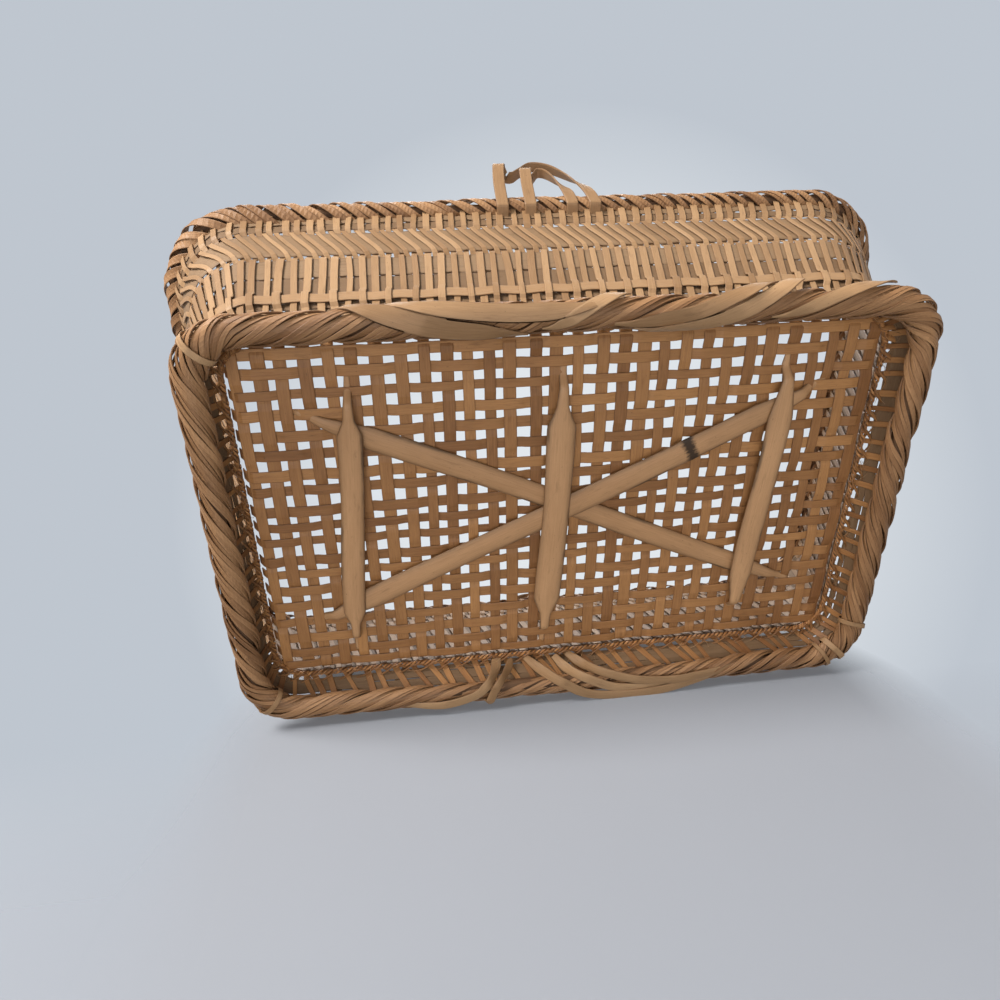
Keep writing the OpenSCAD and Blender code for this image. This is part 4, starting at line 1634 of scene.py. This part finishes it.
@dataclass
class Brace:
    """A split bamboo brace with whittled ends, laid under the base and tucked into its weave.

    Attributes:
        node: the CAD node.
        angle: direction from the long side in degrees.
        half_width: half width of the body.
        neck: length of the thin whittled end.
        shoulder: length over which it widens to the body.
        ring_at: place of a growth ring from -1 to 1, or beyond for none.
        ring_half: half length of its stain, as a share of half the brace.
        ring_swell: how much wider the brace is there.
        ring_mark: gain, shift and limit of the stain.
        tip: width of the very end as a share of the body's.
        waist: width where the neck meets the shoulder, likewise.
        tuck: length of the end that is tucked into the mat.
        tuck_ease: share of that length on which it goes in.
        sway: how far the brace bends sideways, and radians of the bend on half of it.
        wave: how much its width varies, and radians of that on half of it.
        thin: thickness of the very end as a share of the body's.
        steps: points along the brace.
    """

    line: Outline
    rng: np.random.Generator
    node: str
    angle: float
    half_width: float
    neck: float
    shoulder: float
    ring_at: float = 2.0
    ring_half: float = 0.02
    ring_swell: float = 0.05
    ring_mark: Triple = (1.4, 0.35, 0.96)
    tip: float = 0.2
    waist: float = 0.45
    tuck: float = 15.0 * MM
    tuck_ease: float = 0.5
    sway: Pair = (0.6 * MM, 4.0)
    wave: Pair = (0.03, 7.0)
    thin: float = 0.3
    steps: int = 110

    def build(self, finish: bpy.types.Material) -> None:
        """Carries the half-culm section along the brace, narrowing it to whittled ends.

        Point = middle of the CAD box + share * half length * run + sway * side, lifted into the mat at both
        ends. The width climbs in two straight slopes, over the neck and over the shoulder.

        Args:
            finish: the material.
        """
        low, high = (np.array(side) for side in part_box(self.node))
        run = np.array([np.cos(np.radians(self.angle)), np.sin(np.radians(self.angle)), 0.0])
        half = np.min((high - low)[:2] / (2 * np.abs(run[:2])))
        share = np.linspace(-1.0, 1.0, self.steps)[None, :]
        side = np.array([-run[1], run[0], 0.0])
        sway = self.sway[0] * np.sin(share * self.sway[1] + self.angle)
        path = (low + high) / 2 + (share * half)[..., None] * run + sway[..., None] * side
        distance = (1.0 - np.abs(share)) * half
        tucked = ease((self.tuck - distance) / (self.tuck_ease * self.tuck))
        path[..., 2] += (self.line.base_z - path[..., 2]) * tucked
        facing = np.broadcast_to(UPWARD, path.shape)
        slim = self.tip + (self.waist - self.tip) * np.clip(distance / self.neck, 0.0, 1.0)
        width = slim + (1.0 - slim) * np.clip((distance - self.neck) / self.shoulder, 0.0, 1.0)
        bulge = np.exp(-(((share - self.ring_at) / self.ring_half) ** 2))
        width = self.half_width * width * (1.0 + self.ring_swell * bulge)
        width = width * (1.0 + self.wave[0] * np.sin(share * self.wave[1] + self.angle))
        thick = (high[2] - low[2]) / 2 * widen(distance / self.neck, self.thin, 1.0)
        gain, shift, limit = self.ring_mark
        mark = np.clip(bulge * gain - shift, 0.0, limit)
        piece = StripSet(path, facing, width, thick, section=CULM_SECTION, mark=mark)
        dress(piece.mesh(self.node + "_split", self.rng), finish, [self.node], True)


# Course of an ear: share of the span, depth behind the wall's face in millimetres, share of the top and
# how far the strip has turned from facing out to facing up. The first and last heights are set by the rim.
EAR_KNOTS = np.array(
    [
        (0.0, 0.0, 0.0, 0.0),
        (0.0, 0.0, 0.4, 0.0),
        (0.02, 0.0, 0.77, 0.0),
        (0.04, -1.6, 0.88, 0.0),
        (0.05, -4.0, 0.85, 0.0),
        (0.1, -6.2, 0.76, 0.35),
        (0.18, -7.8, 0.79, 0.8),
        (0.28, -8.6, 0.93, 1.0),
        (0.42, -9.0, 1.08, 1.0),
        (0.62, -8.0, 0.98, 0.95),
        (0.82, -5.0, 0.62, 0.6),
        (0.95, -1.0, 0.22, 0.1),
        (1.0, 0.0, 0.0, 0.0),
    ]
)


@dataclass
class Ear:
    """A lifting ear of one flat strip: it leaves the wall, folds sharply back, arches over and comes down.

    Attributes:
        node: the CAD node.
        turn: degrees by which its side of the basket is turned from +Y.
        shift: its middle along the rim.
        left: where it leaves the rim, from its middle.
        right: where it comes back, from its middle.
        top: its height above the rim's middle.
        lean: degrees that it leans outwards.
        half_width: half width of the strip.
        half_thick: half thickness of the strip.
        stand_off: how far the strip stands off the rim.
        clear: further gap between the strip and the rim.
        foot_lift: how far above the rim's lower edge the strip goes in.
        foot_shares: shares of the way in, from the end of a foot to the start of the course.
        foot_steps: points along a foot.
        tuck: how far a foot goes down inside the rim.
        turn_share: how far its width has turned from the rim's direction where it faces up.
        tone: its tone between 0 and 1.
        steps: points along the course.
    """

    line: Outline
    rng: np.random.Generator
    node: str
    turn: float
    shift: float
    left: float
    right: float
    top: float
    lean: float = 32.0
    half_width: float = 3.3 * MM
    half_thick: float = 0.55 * MM
    stand_off: float = 0.75 * MM
    clear: float = 0.6 * MM
    foot_lift: float = 1.5 * MM
    foot_shares: Pair = (1.0, 0.1)
    foot_steps: int = 8
    tuck: float = 5.0 * MM
    turn_share: float = 0.85
    tone: float = 0.2
    steps: int = 120

    def build(self, finish: bpy.types.Material) -> None:
        """Sweeps the strip along a smooth course with a sharp fold near one end and a foot at each.

        The course is laid out with its side of the basket along the first axis, leant outwards, moved to the
        rim and turned to its side. A foot eases from the course into the rim while it goes down.

        Args:
            finish: the material.
        """
        span = self.right - self.left
        hand = np.sign(span)
        depth = self.line.rim_r + self.clear + self.stand_off
        knots = EAR_KNOTS.copy()
        knots[[0, -1], 2] = (self.foot_lift - self.line.rim_r) / self.top
        course = through_points(knots[None], self.steps)[0]
        place = np.array([self.left, depth, 0.0])
        path = place + course[:, :3] * np.array([span, MM, self.top])
        lean = np.clip(course[:, 3], 0.0, 1.0)
        feet = np.linspace(*self.foot_shares, self.foot_steps)
        level = np.zeros(self.foot_steps)
        drop = np.column_stack([level, -depth * ease(feet), -self.tuck * feet])
        path = np.concatenate([path[0] + drop, path, path[-1] + drop[::-1]])
        lean = np.concatenate([level, lean, level])
        wide = np.column_stack([hand * (1.0 - self.turn_share * lean), -lean, np.zeros(len(lean))])
        facing = np.cross(np.gradient(path, axis=0), wide)
        cos_turn, sin_turn = np.cos(np.radians(self.turn)), np.sin(np.radians(self.turn))
        rotate = np.array([(cos_turn, -sin_turn, 0.0), (sin_turn, cos_turn, 0.0), (0.0, 0.0, 1.0)])
        cos_lean, sin_lean = np.cos(np.radians(self.lean)), np.sin(np.radians(self.lean))
        lay = np.array([(1.0, 0.0, 0.0), (0.0, cos_lean, sin_lean), (0.0, -sin_lean, cos_lean)])
        anchor = np.array([self.shift, self.line.half[1] + self.line.rim_spread, self.line.rim_z])
        path = (path @ lay.T + anchor) @ rotate.T
        facing = unit(facing) @ lay.T @ rotate.T
        width = np.full((1, 1), self.half_width)
        strip = StripSet(path[None], facing[None], width, self.half_thick, tone=np.array([self.tone]))
        dress(strip.mesh(self.node + "_strip", self.rng), finish, [self.node])


@dataclass(frozen=True)
class Lamp:
    """A soft square lamp.

    Attributes:
        name: the lamp's name.
        place: where it hangs.
        size: its side in metres.
        power: its watts.
        tint: its colour.
    """

    name: str
    place: Triple
    size: float
    power: float
    tint: Colour

    def hang(self, target: Vector) -> None:
        """Adds the lamp to the scene, aimed at a place.

        Args:
            target: the place that it lights.
        """
        light = bpy.data.lights.new(self.name, "AREA")
        light.size = self.size
        light.energy = self.power
        light.color = self.tint
        hung = bpy.data.objects.new(self.name, light)
        aim = target - Vector(self.place)
        turn = aim.to_track_quat("-Z", "Y").to_matrix().to_4x4()
        hung.matrix_world = Matrix.Translation(Vector(self.place)) @ turn
        bpy.context.scene.collection.objects.link(hung)


LAMPS = (
    Lamp(name="key", place=(-1.2, -1.6, 0.0), size=0.9, power=68.0, tint=(1.0, 0.97, 0.93)),
    Lamp(name="overhead", place=(0.1, -0.5, 1.8), size=1.2, power=25.0, tint=(1.0, 0.98, 0.95)),
    Lamp(name="front", place=(-0.4, -0.5, -1.7), size=1.4, power=20.0, tint=(0.98, 0.98, 1.0)),
    Lamp(name="back", place=(0.6, 1.6, 0.8), size=1.2, power=16.0, tint=(1.0, 0.98, 0.95)),
)


@dataclass
class Studio:
    """Pale ground, soft lamps and the camera of the photograph.

    Attributes:
        focal_share: focal length as a share of the picture's width.
        place: the camera's place.
        ahead: the direction that it looks to.
        upward: its upward direction.
        sensor: its sensor's width in millimetres.
        near_clip: distance from which it sees.
        aim_height: height that the lamps are aimed at.
        backdrop: colour of the wall.
        glow: colour of the wall behind the basket.
        glow_rise: level and gain of that brightening, by the cosine of the angle from the basket.
        fill: colour of the even fill light.
        fill_level: its strength.
        cloth: colour of the sheets that take shadows.
        shadow_share: how much of a sheet is lit cloth near the basket; the rest glows as the wall does.
        shadow_reach: distance at which none of it is.
        shadow_gain: how fast that share falls.
        fade_half: square of half the width in which the table shows above the ground.
        fade_depth: how much of that square a metre of height takes off.
        fade_gain: how sharply the table ends there.
        fade_front: how fast the whole table comes in below the ground.
        table_gap: gap between the table and the basket.
        table_top: height to which the table reaches.
        reach: how far the sheets reach.
    """

    line: Outline
    focal_share: float = 0.755
    place: Triple = (-0.0767, -0.1960, -0.3232)
    ahead: Triple = (0.1076, 0.4775, 0.8720)
    upward: Triple = (0.0712, -0.8785, 0.4723)
    sensor: float = 36.0
    near_clip: float = 0.01
    aim_height: float = 0.07
    backdrop: Colour = (0.52, 0.565, 0.625)
    glow: Colour = (0.76, 0.80, 0.835)
    glow_rise: Pair = (0.88, 9.5)
    fill: Colour = (0.94, 0.97, 1.0)
    fill_level: float = 0.32
    cloth: Colour = (0.3, 0.315, 0.35)
    shadow_share: float = 0.85
    shadow_reach: float = 0.95
    shadow_gain: float = 1.6
    fade_half: float = 0.045
    fade_depth: float = 0.12
    fade_gain: float = 60.0
    fade_front: float = -5.0
    table_gap: float = 6.0 * MM
    table_top: float = 112.0 * MM
    reach: float = 3.0

    def camera(self) -> None:
        """Adds the camera: its axes are the fitted right, up and back directions."""
        lens = bpy.data.cameras.new("photo_camera")
        lens.sensor_width = self.sensor
        lens.lens = self.sensor * self.focal_share
        lens.clip_start = self.near_clip
        seen = bpy.data.objects.new("photo_camera", lens)
        back = -Vector(self.ahead).normalized()
        right = Vector(self.upward).cross(back).normalized()
        upright = back.cross(right)
        turn = Matrix((right, upright, back)).transposed().to_4x4()
        seen.matrix_world = Matrix.Translation(Vector(self.place)) @ turn
        bpy.context.scene.collection.objects.link(seen)
        bpy.context.scene.camera = seen

    @staticmethod
    def _seeing(shader: Shader) -> Socket:
        """Picks the rays that see the backdrop: those of the camera, of gloss and through glass.

        Args:
            shader: the tree.

        Returns:
            One for such a ray, else nothing.
        """
        blind = 1.0 - shader.node("ShaderNodeLightPath", {}, {}, "Is Camera Ray")
        for kind in ("Is Glossy Ray", "Is Transmission Ray"):
            blind = blind * (1.0 - shader.node("ShaderNodeLightPath", {}, {}, kind))
        return 1.0 - blind

    def world(self) -> None:
        """Sets a pale world: a wall that is brighter behind the basket, and an even fill light."""
        made = bpy.data.worlds.new("studio")
        shader = Shader(made)
        seen = self._seeing(shader)
        way = shader.node("ShaderNodeTexCoord", {}, {}, "Generated")
        centre = tuple((Vector((0.0, 0.0, self.line.base_z)) - Vector(self.place)).normalized())
        product = {"operation": "DOT_PRODUCT"}
        facing = shader.node("ShaderNodeVectorMath", product, {0: way, 1: centre}, "Value")
        colour = shader.mix(facing.above(*self.glow_rise), rgba(self.backdrop), rgba(self.glow))
        wall = shader.node("ShaderNodeBackground", {}, {"Color": colour})
        lit = {"Color": rgba(self.fill), "Strength": self.fill_level}
        fill = shader.node("ShaderNodeBackground", {}, lit)
        either = shader.node("ShaderNodeMixShader", {}, {0: seen, 1: fill, 2: wall})
        shader.node("ShaderNodeOutputWorld", {}, {"Surface": either})
        bpy.context.scene.world = made

    def sheet(self, name: str, corners: Array, fades: bool) -> None:
        """Adds a pale cloth that takes shadows on its front and is clear from behind and to the light.

        Args:
            name: the sheet's name.
            corners: its four corners, anticlockwise seen from the front.
            fades: whether it melts into the backdrop towards the ground on both sides of the basket.
        """
        made = bpy.data.materials.new(name)
        shader = Shader(made)
        shown = self._seeing(shader) * (1.0 - shader.node("ShaderNodeNewGeometry", {}, {}, "Backfacing"))
        place = shader.node("ShaderNodeNewGeometry", {}, {}, "Position")
        if fades:
            side = shader.node("ShaderNodeSeparateXYZ", {}, {0: place}, "X")
            depth = shader.node("ShaderNodeSeparateXYZ", {}, {0: place}, "Z")
            near = self.fade_half - side * side - depth.clamp(0.0, 1.0) * self.fade_depth
            near = (near * self.fade_gain).clamp(0.0, 1.0)
            front = (depth * self.fade_front).clamp(0.0, 1.0)
            shown = shown * (1.0 - (1.0 - near) * (1.0 - front))
        away = shader.node("ShaderNodeVectorMath", {"operation": "LENGTH"}, {0: place}, "Value")
        shaded = ((self.shadow_reach - away) * self.shadow_gain).clamp(0.0, self.shadow_share)
        glow = shader.node("ShaderNodeEmission", {}, {"Color": rgba(self.backdrop), "Strength": 1.0})
        cloth = shader.node("ShaderNodeBsdfDiffuse", {}, {"Color": rgba(self.cloth)})
        lit = shader.node("ShaderNodeMixShader", {}, {0: shaded, 1: glow, 2: cloth})
        clear = shader.node("ShaderNodeBsdfTransparent", {}, {})
        closure = shader.node("ShaderNodeMixShader", {}, {0: shown, 1: clear, 2: lit})
        mesh = bpy.data.meshes.new(name)
        mesh.from_pydata(corners, [], [(0, 1, 2, 3)])
        shader.node("ShaderNodeOutputMaterial", {}, {"Surface": closure})
        mesh.materials.append(made)
        laid = bpy.data.objects.new(name, mesh)
        bpy.context.scene.collection.objects.link(laid)

    def build(self) -> None:
        """Adds ground, table, lamps, world and camera: the table lies a gap away from the foot and the rim."""
        reach = self.reach
        floor = [(-reach, -reach, 0.0), (reach, -reach, 0.0), (reach, reach, 0.0), (-reach, reach, 0.0)]
        self.sheet("floor", np.array(floor), False)
        edge = self.line.half[1] + self.line.foot_spread + self.line.foot_r + self.table_gap
        rim = self.line.half[1] + self.line.rim_spread + self.line.rim_r + self.table_gap
        slope = (rim - edge) / (self.line.rim_z - self.line.foot_z)
        near = edge - slope * (reach + self.line.foot_z)
        far = edge + slope * (self.table_top - self.line.foot_z)
        table = [
            (-reach, near, -reach),
            (reach, near, -reach),
            (reach, far, self.table_top),
            (-reach, far, self.table_top),
        ]
        self.sheet("table", np.array(table), True)
        for lamp in LAMPS:
            lamp.hang(Vector((0.0, 0.0, self.aim_height)))
        self.world()
        self.camera()


def plaits(line: Outline, rng: np.random.Generator) -> tuple[Plait, Plait]:
    """Sizes both plaits.

    Args:
        line: the basket's outline.
        rng: seeded numbers.

    Returns:
        The rim's plait and the foot's.
    """
    rim = Plait(
        line=line,
        rng=rng,
        name="rim_strips",
        node="rim_plait",
        spread=line.rim_spread,
        height=line.rim_z,
        core_r=line.rim_r,
        strands=line.stations,
        per_strand=1,
        advance=6.4,
        half_width=1.65 * MM,
        bulge=0.0,
        ragged=0.12,
        flat=0.85,
        puff=0.0,
        start=-150.0,
        swell_at=119.0,
        swell_half=13.0,
        swell=0.5,
    )
    foot = Plait(
        line=line,
        rng=rng,
        name="foot_strips",
        node="foot_plait",
        spread=line.foot_spread,
        height=line.foot_z,
        core_r=line.foot_r,
        strands=66,
        per_strand=4,
        advance=-11.0,
        half_width=1.3 * MM,
        bulge=0.2,
        ragged=0.03,
        flat=0.6,
        puff=0.03,
        start=-255.0,
        swell_at=56.5,
        swell_half=14.0,
        swell=-0.2,
    )
    return rim, foot


# Braces: node, direction in degrees, half width, neck and shoulder in millimetres.
BRACES = (
    ("slat_left", 94.0, 6.0, 22.0, 8.0),
    ("slat_middle", 93.0, 7.2, 24.0, 10.0),
    ("slat_right", 94.0, 6.5, 14.0, 20.0),
    ("diagonal_falling", 24.5, 6.0, 12.0, 26.0),
    ("diagonal_rising", -24.5, 6.5, 12.0, 26.0),
)
# Growth ring of a brace: its place and half length as shares of half the brace.
RINGS = {"diagonal_rising": {"ring_at": 0.49, "ring_half": 0.03}}
# Ears: side, turn in degrees and hand.
EAR_SIDES = (("back", 0.0, 1.0), ("front", 180.0, -1.0))
# Strips of an ear: name, left and right end from its middle, and how much lower its top is.
EAR_STRIPS = (("outer", -26.0 * MM, 26.0 * MM, 0.0), ("inner", -10.4 * MM, 13.0 * MM, 5.0 * MM))
# Height of an ear above the rim, and its place along the rim from the middle of its side.
EAR_TOP = 30.0 * MM
EAR_SHIFT = 7.0 * MM


def main() -> None:
    """Builds the basket piece by piece; each piece is reported as it is dressed."""
    logging.basicConfig(level=logging.INFO, format="%(name)s %(message)s")
    bpy.context.scene.view_settings.view_transform = "Standard"
    rng = np.random.default_rng(SEED)
    line = Outline()
    finishes = {finish.name: finish.material() for finish in (LIGHT, MID, WARM_SHADED, PLAITED, SHADED, SPLIT)}
    Wall(line, rng).build(finishes)
    rim, foot = plaits(line, rng)
    PlaitCore(line, rng).build("rim_core", rim, finishes["bamboo_shaded"])
    PlaitCore(line, rng).build("foot_core", foot, finishes["bamboo_shaded"])
    rim.build(finishes["bamboo_plaited"])
    foot.build(finishes["bamboo_plaited"])
    FootLaps(line, rng).build(finishes)
    BaseMat(line, rng).build(finishes["bamboo_mid"])
    Skirt(line, rng).build(finishes)
    for node, angle, half, neck, shoulder in BRACES:
        brace = Brace(line, rng, node, angle, half * MM, neck * MM, shoulder * MM, **RINGS.get(node, {}))
        brace.build(finishes["bamboo_split"])
    for side, turn, hand in EAR_SIDES:
        for strip, left, right, lower in EAR_STRIPS:
            ear = Ear(
                line=line,
                rng=rng,
                node=f"ear_{side}_{strip}",
                turn=turn,
                shift=hand * EAR_SHIFT,
                left=hand * left,
                right=hand * right,
                top=line.rim_r + EAR_TOP - lower,
            )
            ear.build(finishes["bamboo_light"])
    Studio(line).build()


if __name__ == "__main__":
    main()
